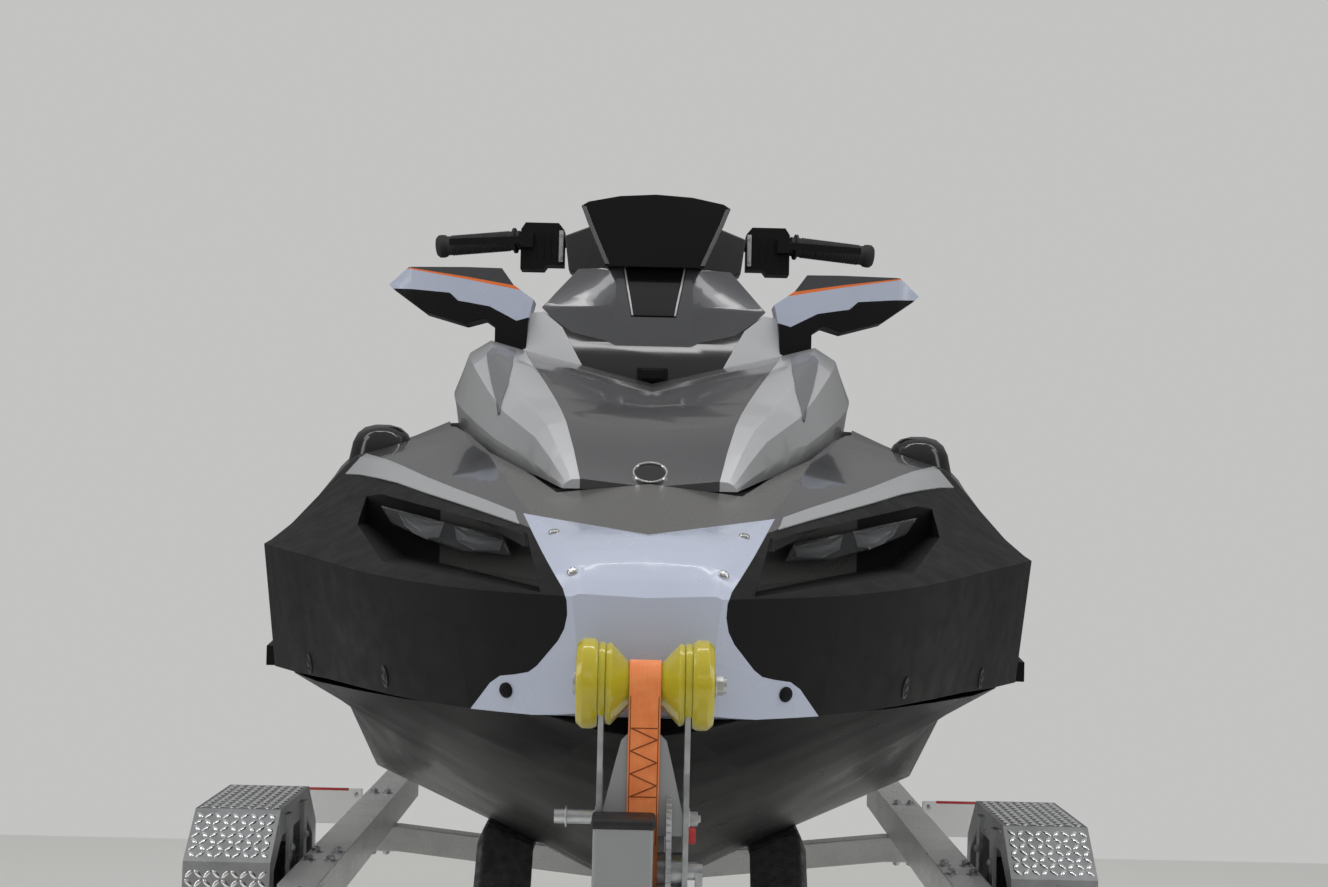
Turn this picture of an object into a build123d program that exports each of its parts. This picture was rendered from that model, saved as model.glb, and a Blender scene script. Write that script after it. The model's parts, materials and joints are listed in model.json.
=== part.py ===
from build123d import *
import math
import os

# A three-seat personal watercraft parked on its single-axle road trailer.
# Millimetres. +X is the craft's left side, -Y its bow, +Z up, and the floor is z = 0.
# Along the craft, places are distances s behind the bow tip, and heights are heights h
# over the level part of the keel. along() and up() turn them into y and z.

CRAFT_LENGTH = 3580.0      # bow tip to the rear edge of the swim deck
TONGUE_REACH = 1150.0      # how far the trailer's coupler stands ahead of the bow tip
KEEL_HEIGHT = 500.0        # the level part of the keel over the floor
BOW_Y = -(CRAFT_LENGTH - TONGUE_REACH) / 2

SEAT_GAP = 0.3             # between two curved pieces that bear on each other
MOVE_GAP = 6.0             # least room beside a piece that swings
PIN_GAP = 0.4              # radial room of a pin in its bore


def along(s):
    return BOW_Y + s


def up(h):
    return KEEL_HEIGHT + h


def polygon(points):
    return Face(Wire.make_polygon([Vector(*p) for p in points], close=True))


def plan_prism(points, low, high):
    """A column between two heights over a top-view outline of (x, s) points."""
    face = polygon([(x, along(s), up(low)) for x, s in points])
    return extrude(face, amount=high - low, dir=(0, 0, 1))


def front_prism(points, s_from, s_to):
    """A bar along the craft with a front-view outline of (x, h) points."""
    face = polygon([(x, along(s_from), up(h)) for x, h in points])
    return extrude(face, amount=s_to - s_from, dir=(0, 1, 0))


def side_prism(points, x_from, x_to):
    """A bar across the craft with a side-view outline of (s, h) points."""
    face = polygon([(x_from, along(s), up(h)) for s, h in points])
    return extrude(face, amount=x_to - x_from, dir=(1, 0, 0))


def block(x, s, h):
    """A box between (low, high) pairs of x, s and h."""
    size = (x[1] - x[0], s[1] - s[0], h[1] - h[0])
    centre = ((x[0] + x[1]) / 2, along((s[0] + s[1]) / 2), up((h[0] + h[1]) / 2))
    return Pos(*centre) * Box(*size)


def rod(radius, start, end):
    """A round bar between two (x, s, h) places."""
    low = Vector(start[0], along(start[1]), up(start[2]))
    high = Vector(end[0], along(end[1]), up(end[2]))
    plane = Plane(origin=low, z_dir=high - low)
    return extrude(plane * Circle(radius), amount=(high - low).length)


def ball(radius, place):
    return Pos(place[0], along(place[1]), up(place[2])) * Sphere(radius)


def turned_on_x(profile, x, s, h):
    """A closed (x, radius) profile turned about a cross axis."""
    face = polygon([(across, 0, radius) for across, radius in profile])
    return Pos(x, along(s), up(h)) * revolve(face, axis=Axis.X)


def ribbon(points, width):
    """Outline of a path of the given width in a plane, with mitred corners."""
    left, right = [], []
    for i, (a, b) in enumerate(points):
        before = points[max(i - 1, 0)]
        after = points[min(i + 1, len(points) - 1)]
        sides = []
        for p, q in ((before, (a, b)), ((a, b), after)):
            run = math.hypot(q[0] - p[0], q[1] - p[1])
            if run > 0:
                sides.append((-(q[1] - p[1]) / run, (q[0] - p[0]) / run))
        nx = sum(n[0] for n in sides) / len(sides)
        ny = sum(n[1] for n in sides) / len(sides)
        reach = width / 2 / (nx * nx + ny * ny)
        left.append((a + nx * reach, b + ny * reach))
        right.append((a - nx * reach, b - ny * reach))
    return left + right[::-1]


def curve_slopes(places, values):
    """Slopes of a curve through the values that doesn't overshoot them."""
    steps = [b - a for a, b in zip(places, places[1:])]
    rises = [(b - a) / step for a, b, step in zip(values, values[1:], steps)]
    slopes = [rises[0]]
    for before, after in zip(rises, rises[1:]):
        level = before * after <= 0
        slopes.append(0.0 if level else 2 * before * after / (before + after))
    return slopes + [rises[-1]]


def curve_at(places, values, place):
    slopes = curve_slopes(places, values)
    i = max(k for k in range(len(places) - 1) if places[k] <= place)
    step = places[i + 1] - places[i]
    t = (place - places[i]) / step
    return ((2 * t ** 3 - 3 * t ** 2 + 1) * values[i]
            + (t ** 3 - 2 * t ** 2 + t) * step * slopes[i]
            + (3 * t ** 2 - 2 * t ** 3) * values[i + 1]
            + (t ** 3 - t ** 2) * step * slopes[i + 1])


def row_at(table, s):
    """The half-section (x, h) points of a station table at a place between its rows."""
    places = [row[0] for row in table]
    points = []
    for k in range(1, len(table[0])):
        points.append(tuple(
            curve_at(places, [row[k][j] for row in table], s) for j in (0, 1)))
    return points


def station_loft(table, places):
    """A body through the station table, with a section at each of the places."""
    sections = []
    for s in places:
        half = [(x, along(s), up(h)) for x, h in row_at(table, s)]
        other = [(-x, y, z) for x, y, z in reversed(half) if x > 0.01]
        sections.append(polygon(half + other))
    return loft(sections, ruled=True)


def mirrored(points):
    """A half outline given from the middle outwards and back, made whole."""
    return points + [(-x, other) for x, other in reversed(points) if x > 0]


def both(piece):
    return [piece, mirror(piece, about=Plane.YZ)]


PARTS = {}


def keep(name, *shapes):
    """Files the solids of one node."""
    solids = []
    for shape in shapes:
        for piece in (shape if isinstance(shape, list) else [shape]):
            solids.extend(piece.solids())
    PARTS[name] = solids


# Hull

BOND_H = 470.0             # where the deck moulding meets the hull
TRANSOM_S = 3330.0
HULL_TABLE = [
    # s, keel, chine, bond line, middle of the top
    (40, (0, 448), (52, 455), (108, BOND_H), (0, BOND_H)),
    (230, (0, 345), (118, 388), (298, BOND_H), (0, BOND_H)),
    (600, (0, 205), (235, 328), (488, BOND_H), (0, BOND_H)),
    (1100, (0, 85), (375, 285), (562, BOND_H), (0, BOND_H)),
    (1700, (0, 10), (500, 225), (590, BOND_H), (0, BOND_H)),
    (2500, (0, 0), (525, 210), (592, BOND_H), (0, BOND_H)),
    (TRANSOM_S, (0, 0), (515, 205), (560, BOND_H), (0, BOND_H)),
]
HULL_PLACES = [40, 90, 150, 230, 340, 460, 600, 760, 920, 1100, 1300, 1500, 1700,
               2500, TRANSOM_S]
TUNNEL_HALF = 165.0
TUNNEL_FRONT_S = 2780.0
TUNNEL_ROOF_H = 330.0
INTAKE_HALF = 95.0
INTAKE_S = (2120.0, 2620.0)
INTAKE_ROOF_H = (40.0, 150.0)
ENGINE_HALF = 200.0
ENGINE_S = (1720.0, 2420.0)
ENGINE_H = (170.0, 590.0)
ENGINE_ROOM = 8.0
WELL_FLOOR_H = 345.0
WELL_LINER = 12.0
WELL_OUTLINE = [(262, 1340), (470, 1340), (506, 1520), (516, 2200), (506, 2860),
                (462, 3010), (244, 3010), (252, 1600)]

engine_bay = block(
    (-ENGINE_HALF - ENGINE_ROOM, ENGINE_HALF + ENGINE_ROOM),
    (ENGINE_S[0] - ENGINE_ROOM, ENGINE_S[1] + ENGINE_ROOM),
    (ENGINE_H[0], ENGINE_H[1] + ENGINE_ROOM))


def well(grow, low, high):
    """One footwell's space, with its outline grown outwards."""
    outline = []
    for x, s in WELL_OUTLINE:
        outline.append((x + (grow if x > 400 else -grow), s + (grow if s > 2900 else 0)
                        - (grow if s < 1400 else 0)))
    return plan_prism(outline, low, high)


liner_outer = well(WELL_LINER, WELL_FLOOR_H - WELL_LINER, BOND_H)
hull = station_loft(HULL_TABLE, HULL_PLACES)
hull -= block((-TUNNEL_HALF, TUNNEL_HALF), (TUNNEL_FRONT_S, TRANSOM_S + 10),
              (-10, TUNNEL_ROOF_H))
hull -= side_prism([(INTAKE_S[0], -60), (INTAKE_S[0], INTAKE_ROOF_H[0]),
                    (INTAKE_S[1], INTAKE_ROOF_H[1]), (INTAKE_S[1], -60)],
                   -INTAKE_HALF, INTAKE_HALF)
hull -= engine_bay
for side in both(liner_outer):
    hull -= side
keep("hull", hull)
keep("engine", block((-ENGINE_HALF, ENGINE_HALF), ENGINE_S, ENGINE_H))

EYE_POINT = (4.0, 438.0)   # where the winch strap pulls, as (s, h)
eye_lug = side_prism([(90, 440), (90, 400), (EYE_POINT[0] - 2, 424),
                      (EYE_POINT[0] - 14, 432), (EYE_POINT[0] - 8, 449), (60, 455)], -7, 7)
eye_lug -= rod(7, (-10, EYE_POINT[0] + 8, EYE_POINT[1] - 1), (10, EYE_POINT[0] + 8,
                                                            EYE_POINT[1] - 1))
keep("bow_eye", eye_lug - hull)

SPONSON = [(2230, 232), (2400, 214), (3240, 205), (3300, 232), (3300, 268), (2330, 292)]
sponson = side_prism(SPONSON, 500, 588) - hull
keep("sponsons", both(sponson))

GRATE_BAR_X = [-66, -22, 22, 66]
grate = [block((x - 5, x + 5), INTAKE_S, (29, 38)) for x in GRATE_BAR_X]
grate_rib = block((-71, 71), (2360, 2372), (38, 46))
keep("intake_grate", grate[0] + grate[1] + grate[2] + grate[3] + grate_rib)


# Bow upper moulding: one lofted form, divided into nose plate, bumpers, shoulders and deck

BOW_END_S = 1300.0
BOW_TABLE = [
    # s, middle of the bottom, bond, crease, band foot, inner seam, middle of the top
    (0, (0, 478), (70, 478), (85, 609), (78, 612), (68, 612), (0, 609)),
    (40, (0, BOND_H), (128, 471), (152, 610), (88, 641), (72, 646), (0, 648)),
    (100, (0, BOND_H), (205, 471), (235, 613), (115, 662), (98, 668), (0, 676)),
    (230, (0, BOND_H), (312, 474), (345, 622), (162, 690), (146, 698), (0, 714)),
    (420, (0, BOND_H), (414, 476), (442, 635), (252, 719), (192, 744), (0, 764)),
    (650, (0, BOND_H), (522, 474), (542, 646), (366, 752), (236, 790), (0, 806)),
    (850, (0, BOND_H), (550, 472), (565, 640), (440, 776), (280, 826), (0, 836)),
    (1050, (0, BOND_H), (570, 472), (582, 620), (490, 762), (318, 838), (0, 850)),
    (BOW_END_S, (0, BOND_H), (582, 472), (592, 590), (552, 680), (330, 740), (0, 760)),
]
BOW_PLACES = [0, 18, 40, 68, 100, 160, 230, 320, 420, 530, 650, 750, 850, 950, 1050,
              1170, BOW_END_S]
PLATE_OUTLINE = [(0, 679), (156, 700), (96, 617), (91, 604), (90, 588), (93, 572), (100, 558),
                 (124, 528), (134, 520), (150, 516), (168, 513), (180, 504), (190, 490),
                 (212, 460), (0, 460)]
PLATE_BACK_S = 250.0
SHOULDER_FRONT_S = 205.0
BUMPER_END_S = 900.0
SHOULDER_END_S = 1050.0
SHOULDER_UNDER = [(150, 640), (205, 660), (420, 700), (650, 730), (850, 752), (1100, 740)]

LID_FRONT_S = 330.0
LID_END_S = 1060.0
LID_SEAT = (726.0, 0.135)  # height at the lid's front edge, and rise per mm aft
HOOD_LINES = [
    # s, rim half-width, bulge, shoulder, crest, inner edge, middle of the top
    (LID_FRONT_S, 112, (111, 736), (107, 740), (100, 744), (88, 745), (0, 736)),
    (450, 150, (158, 768), (154, 800), (138, 816), (112, 820), (0, 812)),
    (600, 208, (217, 800), (206, 838), (178, 856), (134, 858), (0, 850)),
    (900, 280, (299, 865), (279, 932), (246, 952), (190, 934), (0, 890)),
    (LID_END_S, 306, (314, 885), (290, 948), (258, 968), (203, 953), (0, 905)),
]
LID_EDGE = [(max(row[1], row[2][0]), row[0]) for row in HOOD_LINES]
BIN_HALF = 135.0
BIN_S = (430.0, 800.0)
BIN_FLOOR_H = 500.0


def seat_line(s):
    return LID_SEAT[0] + LID_SEAT[1] * (s - LID_FRONT_S)


def bow_line(k, places, shift=0.0):
    """Top-view (x, s) points of the k-th line of the bow table."""
    points = []
    for s in places:
        points.append((row_at(BOW_TABLE, s)[k][0] + shift, s))
    return points


SCOOP_OUTLINE = [(394, 724), (146, 676), (122, 612), (330, 636), (390, 678)]
SCOOP_BACK = [(90, 262), (430, 640)]   # top-view line of the recess's back
LAMP_OUTLINE = [(366, 704), (186, 668), (172, 645), (240, 648), (292, 660), (348, 680)]
LAMP_DEPTH = 40.0


def lamp_scoop():
    """The headlamp recess of one side."""
    front = [(430, -60), (90, -60)]
    return front_prism(SCOOP_OUTLINE, -40, 700) & plan_prism(SCOOP_BACK + front, 560, 800)


def lamp_block():
    """The lamp of one side, standing on the back of its recess."""
    face = [(x, s - LAMP_DEPTH) for x, s in reversed(SCOOP_BACK)]
    return front_prism(LAMP_OUTLINE, 0, 700) & plan_prism(SCOOP_BACK + face, 560, 800)


band_places = [205, 320, 420, 530, 650, 750, 850]
bow = station_loft(BOW_TABLE, BOW_PLACES)
plate_bar = front_prism(mirrored(PLATE_OUTLINE), -20, PLATE_BACK_S)
bow_plate = bow & plate_bar
bow_rest = bow - plate_bar
shoulder_column = plan_prism(
    bow_line(4, band_places + [SHOULDER_END_S])
    + bow_line(3, band_places + [SHOULDER_END_S])[::-1], 560, 1000)
shoulder_over = side_prism(SHOULDER_UNDER + [(1100, 1000), (150, 1000)], 0, 700)
shoulder = bow_rest & (shoulder_column & shoulder_over)
outer_column = plan_prism(
    [(40, -80), (700, -80), (700, BUMPER_END_S), (464, BUMPER_END_S)]
    + bow_line(3, band_places)[::-1] + [(100, 100)], 400, 1000)
bumper = (bow_rest & outer_column) - lamp_scoop()
lamp = lamp_block() & bow
bow_deck = bow_rest
for side in both(shoulder_column & shoulder_over) + both(outer_column) + both(lamp_scoop()):
    bow_deck -= side
lid_plan = [(0, LID_FRONT_S - MOVE_GAP)] + [
    (x + MOVE_GAP, s - (MOVE_GAP if s == LID_FRONT_S else 0)) for x, s in LID_EDGE]
lid_plan += [(0, LID_END_S)]
lid_space = plan_prism(mirrored(lid_plan), 600, 1200) & side_prism(
    [(300, seat_line(300)), (1100, seat_line(1100)), (1100, 1200), (300, 1200)], -420, 420)
bow_deck -= lid_space
bow_deck -= block((-BIN_HALF, BIN_HALF), BIN_S, (BIN_FLOOR_H, 1000))

HINGE = (356.0, 731.0)     # lid hinge axis as (s, h), under the nose of the lid
KNUCKLE_R = 7.0
HINGE_PIN_R = 4.0
HINGE_HALF = 40.0
NOSE_SWING = HINGE[0] - LID_FRONT_S     # radius that the nose of the lid turns in
WELL_FLOOR = HINGE[1] - NOSE_SWING - MOVE_GAP
nose_well = plan_prism(mirrored(lid_plan), WELL_FLOOR, 800) & block(
    (-200, 200), (LID_FRONT_S - 10, HINGE[0] + KNUCKLE_R + 9), (WELL_FLOOR, 800))
bow_deck -= nose_well
knuckle = block((-HINGE_HALF, HINGE_HALF), (HINGE[0] - KNUCKLE_R, HINGE[0] + KNUCKLE_R),
                (WELL_FLOOR - 4, HINGE[1]))
knuckle += rod(KNUCKLE_R, (-HINGE_HALF, *HINGE), (HINGE_HALF, *HINGE))
knuckle += rod(HINGE_PIN_R, (-HINGE_HALF - 18, *HINGE), (HINGE_HALF + 18, *HINGE))
bow_deck += knuckle

keep("bow_deck", bow_deck)
keep("bow_plate", bow_plate)
keep("shoulders", both(shoulder - lid_space))
keep("bumpers", both(bumper))
keep("headlamps", both(lamp))

POD_PLACE = (408.0, 905.0)
POD_RINGS = [(755, 54), (798, 45), (812, 38), (821, 27), (825, 12)]   # (h, radius)
pod_faces = [Pos(POD_PLACE[0], along(POD_PLACE[1]), up((low + high) / 2))
             * Cone(wide, narrow, high - low)
             for (low, wide), (high, narrow) in zip(POD_RINGS, POD_RINGS[1:])]
pod = pod_faces[0] + pod_faces[1] + pod_faces[2] + pod_faces[3]
keep("speaker_pods", both(pod - bow))


# Deck aft of the bow moulding

DECK_TABLE = [
    # s, middle of the bottom, bond, side, gunwale edge, middle of the top
    (BOW_END_S, (0, BOND_H), (582, 472), (592, 590), (552, 680), (0, 680)),
    (1600, (0, BOND_H), (590, 472), (597, 568), (562, 650), (0, 650)),
    (2200, (0, BOND_H), (592, 472), (598, 545), (567, 612), (0, 612)),
    (2900, (0, BOND_H), (583, 472), (588, 525), (562, 574), (0, 574)),
    (TRANSOM_S, (0, BOND_H), (560, 472), (563, 508), (542, 534), (0, 534)),
    (3480, (0, BOND_H), (532, 472), (533, 500), (514, 518), (0, 518)),
    (CRAFT_LENGTH, (0, BOND_H), (440, 472), (441, 494), (426, 506), (0, 506)),
]
DECK_PLACES = [BOW_END_S, 1450, 1600, 1900, 2200, 2550, 2900, TRANSOM_S, 3410, 3480,
               3535, CRAFT_LENGTH]
PEDESTAL_TOP_H = 795.0
PEDESTAL_TABLE = [
    # s, middle of the bottom, foot, waist, top edge, middle of the top
    (BOW_END_S, (0, BOND_H), (300, BOND_H), (296, 660), (280, 795), (0, 795)),
    (1420, (0, BOND_H), (262, BOND_H), (250, 660), (226, 795), (0, 795)),
    (1560, (0, BOND_H), (254, BOND_H), (224, 640), (176, 795), (0, 795)),
    (2250, (0, BOND_H), (250, BOND_H), (216, 640), (170, 795), (0, 795)),
    (3020, (0, BOND_H), (226, BOND_H), (196, 640), (152, 795), (0, 795)),
]
PLATFORM_H = 498.0
deck = station_loft(DECK_TABLE, DECK_PLACES)
for side in both(well(0, WELL_FLOOR_H, 900)):
    deck -= side
deck += station_loft(PEDESTAL_TABLE, [BOW_END_S, 1420, 1560, 2250, 3020])
deck -= plan_prism(mirrored([(0, 3020), (480, 3020), (478, 3300), (450, 3420), (400, 3470),
                             (400, 3640), (0, 3640)]), PLATFORM_H, 700)
deck -= engine_bay
keep("deck", deck)
keep("footwells", both(liner_outer - well(0, WELL_FLOOR_H, 900)))

MAT = 6.0
mat_outline = []
for x, s in WELL_OUTLINE:
    mat_outline.append((x - 12 if x > 400 else x + 12, min(max(s, 1354), 2996)))
keep("foot_mats", both(plan_prism(mat_outline, WELL_FLOOR_H, WELL_FLOOR_H + MAT)))
keep("rear_mat", plan_prism(mirrored([(0, 3040), (452, 3040), (450, 3300), (425, 3405),
                                      (375, 3460), (375, 3560), (0, 3560)]),
                            PLATFORM_H, PLATFORM_H + MAT))

RAIL_OUT = 12.0
rub_x = [(s, row_at(DECK_TABLE, s)[1][0]) for s in (BOW_END_S, 1600, 2200, 2900, TRANSOM_S)]
rub_line = [(row_at(BOW_TABLE, s)[1][0] + 8, s) for s in (BUMPER_END_S + 4, 1050)]
rub_line += [(x + 8, s) for s, x in rub_x]
rub = plan_prism(ribbon(rub_line, 2 * RAIL_OUT), BOND_H - 14, BOND_H + 16)
keep("rub_rails", both(rub - hull - deck - bow))

keep("seat_front", station_loft([
    (1568, (0, 795), (132, 795), (136, 840), (104, 882), (0, 892)),
    (1750, (0, 795), (160, 795), (168, 850), (128, 906), (0, 914)),
    (2050, (0, 795), (168, 795), (178, 850), (150, 918), (0, 925)),
    (2243, (0, 795), (168, 795), (182, 860), (160, 945), (0, 950)),
], [1568, 1650, 1750, 1900, 2050, 2150, 2243]))
keep("seat_rear", station_loft([
    (2249, (0, 795), (168, 795), (184, 870), (165, 978), (0, 986)),
    (2600, (0, 795), (162, 795), (180, 870), (160, 966), (0, 972)),
    (2900, (0, 795), (154, 795), (170, 870), (150, 972), (0, 980)),
    (3016, (0, 795), (148, 795), (155, 860), (128, 930), (0, 942)),
], [2249, 2420, 2600, 2750, 2900, 3016]))

HANDLE_H = (742.0, 776.0)
handle = plan_prism(mirrored([(0, 3112), (112, 3112), (146, 3085), (150, 3020), (0, 3020)]),
                    *HANDLE_H)
handle -= plan_prism(mirrored([(0, 3076), (92, 3076), (110, 3060), (110, 3010), (0, 3010)]),
                     HANDLE_H[0] - 5, HANDLE_H[1] + 5)
keep("grab_handle", handle)


# Front lid with its mirrors

HOOD_WALL = 14.0
HOOD_REAR_WALL = 20.0
hood_table = []
hood_inner_table = []
for row in HOOD_LINES:
    s, rim_half, edge = row[0], row[1], row[2:]
    rim_h = seat_line(s) + MOVE_GAP
    hood_table.append((s, (0, rim_h), (rim_half, rim_h), *edge))
    low = rim_h - 20
    inner = [(0, low), (rim_half - HOOD_WALL, low)]
    for k, (x, h) in enumerate(edge):
        inner.append((max(x - HOOD_WALL - 4, 0), max(h - HOOD_WALL, rim_h + 1.5 * k)))
    inner_s = min(max(s, LID_FRONT_S + 30), LID_END_S - HOOD_REAR_WALL)
    hood_inner_table.append((inner_s, *inner))
HOOD_PLACES = [LID_FRONT_S, 385, 450, 520, 600, 700, 800, 900, 980, LID_END_S]
hood_block = station_loft(hood_table, HOOD_PLACES)
hood_shell = hood_block - station_loft(
    hood_inner_table, [row[0] for row in hood_inner_table])
centre_column = plan_prism(mirrored(
    [(0, LID_FRONT_S - 5), (88, LID_FRONT_S - 5)]
    + [(row_at(hood_table, s)[5][0], s) for s in HOOD_PLACES[1:]]
    + [(0, LID_END_S)]), 600, 1200)
hood = hood_shell & centre_column
EAR_X = (HINGE_HALF + 4, HINGE_HALF + 17)
ear = rod(KNUCKLE_R, (EAR_X[0], *HINGE), (EAR_X[1], *HINGE))
hood = hood + both(ear)[0] + both(ear)[1]
hood -= rod(HINGE_PIN_R + PIN_GAP, (-EAR_X[1] - 4, *HINGE), (EAR_X[1] + 4, *HINGE))
hood -= side_prism([(340, 715), (340, HINGE[1]), (347, 740), (374, 742), (374, 715)],
                   -EAR_X[0], EAR_X[0])
keep("hood", hood.solids().sort_by(SortBy.VOLUME)[-1])
keep("hood_sides", hood_shell - centre_column)

BADGE_S = 352.0
BADGE_R = 23.0
BADGE_THICK = 5.0
HOOD_SLOPE = math.degrees(math.atan2(
    row_at(hood_table, BADGE_S + 20)[6][1] - row_at(hood_table, BADGE_S - 20)[6][1], 40))
badge_place = Pos(0, along(BADGE_S), up(row_at(hood_table, BADGE_S)[6][1]))
badge = badge_place * Rot(HOOD_SLOPE, 0, 0) * Cylinder(BADGE_R, 2 * BADGE_THICK)
keep("hood_badge", (badge - hood_block).solids().sort_by(Axis.Z)[-1])


# Fixed console behind the lid

CONSOLE_FRONT_S = LID_END_S + MOVE_GAP
CONSOLE_END_S = 1562.0
CONSOLE_TABLE = [
    # s, middle of the underside, foot, outer edge, crest, inner edge, middle of the top
    (CONSOLE_FRONT_S, (0, 700), (305, 700), (300, 905), (262, 948), (200, 938), (0, 888)),
    (1200, (0, 700), (300, 700), (288, 920), (246, 962), (192, 958), (0, 925)),
    (1400, (0, 700), (262, 700), (244, 930), (202, 972), (150, 980), (0, 978)),
    (CONSOLE_END_S, (0, 700), (176, 700), (168, 900), (150, 924), (120, 930), (0, 930)),
]
COWL_TABLE = [
    # h, (nose half-width, s), (corner half-width, s), (rear half-width, s)
    (880, (66, 1078), (118, 1090), (150, 1452)),
    (972, (60, 1110), (128, 1124), (150, 1444)),
    (1032, (62, 1132), (184, 1172), (140, 1430)),
    (1100, (62, 1172), (126, 1206), (100, 1372)),
]
INSET_OUTLINE = [(0, 1016), (37, 1016), (55, 1112), (0, 1112)]
INSET_DEPTH = 9.0
cowl_sections = []
for h, nose, corner, rear in COWL_TABLE:
    outline = [(0, nose[1]), nose, corner, rear, (0, rear[1])]
    cowl_sections.append(polygon([(x, along(s), up(h)) for x, s in mirrored(outline)]))
cowl = loft(cowl_sections, ruled=True)
inset_floor = [(1060, 1016), (1060, 1112)]
inset_floor += [(nose[1] + INSET_DEPTH, h) for h, nose, corner, rear in COWL_TABLE[:0:-1]]
inset = front_prism(mirrored(INSET_OUTLINE), 1060, 1300) & side_prism(inset_floor, -80, 80)
CHEEK_OUTLINE = [(199, 1018), (179, 1021), (147, 995), (113, 933), (100, 880), (210, 880),
                 (208, 960)]
CHEEK_SIDE = [(CONSOLE_FRONT_S + 2, 870), (CONSOLE_FRONT_S + 6, 935), (1118, 1022),
              (1170, 1022), (1290, 940), (1290, 870)]
cheek = front_prism(CHEEK_OUTLINE, CONSOLE_FRONT_S, 1300) & side_prism(CHEEK_SIDE, 90, 220)
console_sides = station_loft(CONSOLE_TABLE, [CONSOLE_FRONT_S, 1130, 1200, 1300, 1400, 1480,
                                             CONSOLE_END_S])
console_sides += both(cheek)[0]
console_sides += both(cheek)[1]
console_sides = console_sides - bow - deck - cowl

GLOVE_HALF = 84.0
GLOVE_S = (1464.0, 1546.0)
GLOVE_FLOOR_H = 850.0
GLOVE_LEDGE_H = 930.0
GLOVE_LID_THICK = 11.0
GLOVE_EAR = 6.0            # half the width of the hinge eyes, and their radius
GLOVE_LID_H = (GLOVE_LEDGE_H + MOVE_GAP, GLOVE_LEDGE_H + MOVE_GAP + GLOVE_LID_THICK)
GLOVE_HINGE = (GLOVE_S[0] - 4, GLOVE_LID_H[0] + 4)
console_sides -= block((-GLOVE_HALF - 12, GLOVE_HALF + 12),
                       (GLOVE_HINGE[0] - 8, CONSOLE_END_S + 5), (GLOVE_LEDGE_H, 1100))
console_sides -= block((-GLOVE_HALF, GLOVE_HALF), GLOVE_S, (GLOVE_FLOOR_H, 1000))
glove_post = block((-60, 60), (GLOVE_HINGE[0] - 5, GLOVE_HINGE[0] + 3),
                   (GLOVE_LEDGE_H - 5, GLOVE_HINGE[1]))
glove_post += rod(GLOVE_EAR, (-60, *GLOVE_HINGE), (60, *GLOVE_HINGE))
glove_post += rod(HINGE_PIN_R, (-74, *GLOVE_HINGE), (74, *GLOVE_HINGE))
console_sides += glove_post
keep("console_sides", console_sides)

glove_lid = block((-GLOVE_HALF - 4, GLOVE_HALF + 4),
                  (GLOVE_HINGE[0] + 13, GLOVE_S[1] + 8), GLOVE_LID_H)
for side in both(block((62, 74), (GLOVE_HINGE[0], GLOVE_HINGE[0] + 16),
                       (GLOVE_HINGE[1] - 3, GLOVE_HINGE[1] + 3))
                 + rod(GLOVE_EAR, (62, *GLOVE_HINGE), (74, *GLOVE_HINGE))):
    glove_lid += side
glove_lid -= rod(HINGE_PIN_R + PIN_GAP, (-80, *GLOVE_HINGE), (80, *GLOVE_HINGE))
keep("glovebox_lid", glove_lid)

STEER_PLACE = (1440.0, 1120.0)
STEER_TILT = 25.0
STEER_AXIS = (math.sin(math.radians(STEER_TILT)), math.cos(math.radians(STEER_TILT)))


def on_steering(distance):
    """A place (0, s, h) on the steering axis, by its distance over the bar's middle."""
    return (0, STEER_PLACE[0] + STEER_AXIS[0] * distance,
            STEER_PLACE[1] + STEER_AXIS[1] * distance)


STEM_R = 14.0
cowl += rod(34, on_steering(-150), on_steering(-46))
cowl -= rod(STEM_R + PIN_GAP, on_steering(-100), on_steering(0))
keep("console", cowl - inset - console_sides)

VISOR_OUTLINE = [(0, 1100), (81, 1100), (124, 1204), (112, 1212), (60, 1223), (0, 1227)]
visor_front = [polygon([(x * 1.0, along(1150 + (h - 1100) * 0.45), up(h))
                        for x, h in mirrored(VISOR_OUTLINE)])]
visor_front.append(polygon([(x * 0.86, along(1250 + (h - 1100) * 0.2), up(1100 + (h - 1100)
                                                                         * 0.93))
                            for x, h in mirrored(VISOR_OUTLINE)]))
visor = loft(visor_front, ruled=True)
keep("visor", visor - cowl)
gauge = Pos(0, along(1264), up(1156)) * Rot(-11.3, 0, 0) * Box(126, 14, 76)
keep("gauge", gauge - visor)

TRIM_OUTLINE = [(0, 880), (100, 880), (113, 933), (147, 995), (181, 1024), (132, 989),
                (46, 969), (0, 968)]
TRIM_SIDE = [(CONSOLE_FRONT_S + 2, 870), (CONSOLE_FRONT_S + 4, 904), (1079, 933), (1112, 972),
             (1148, 1026), (1200, 1026), (1200, 870)]
trim = front_prism(mirrored(TRIM_OUTLINE), CONSOLE_FRONT_S, 1200) & side_prism(
    TRIM_SIDE, -200, 200)
keep("hood_trim", (trim - cowl - console_sides).solids().sort_by(SortBy.VOLUME)[-1])

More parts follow.
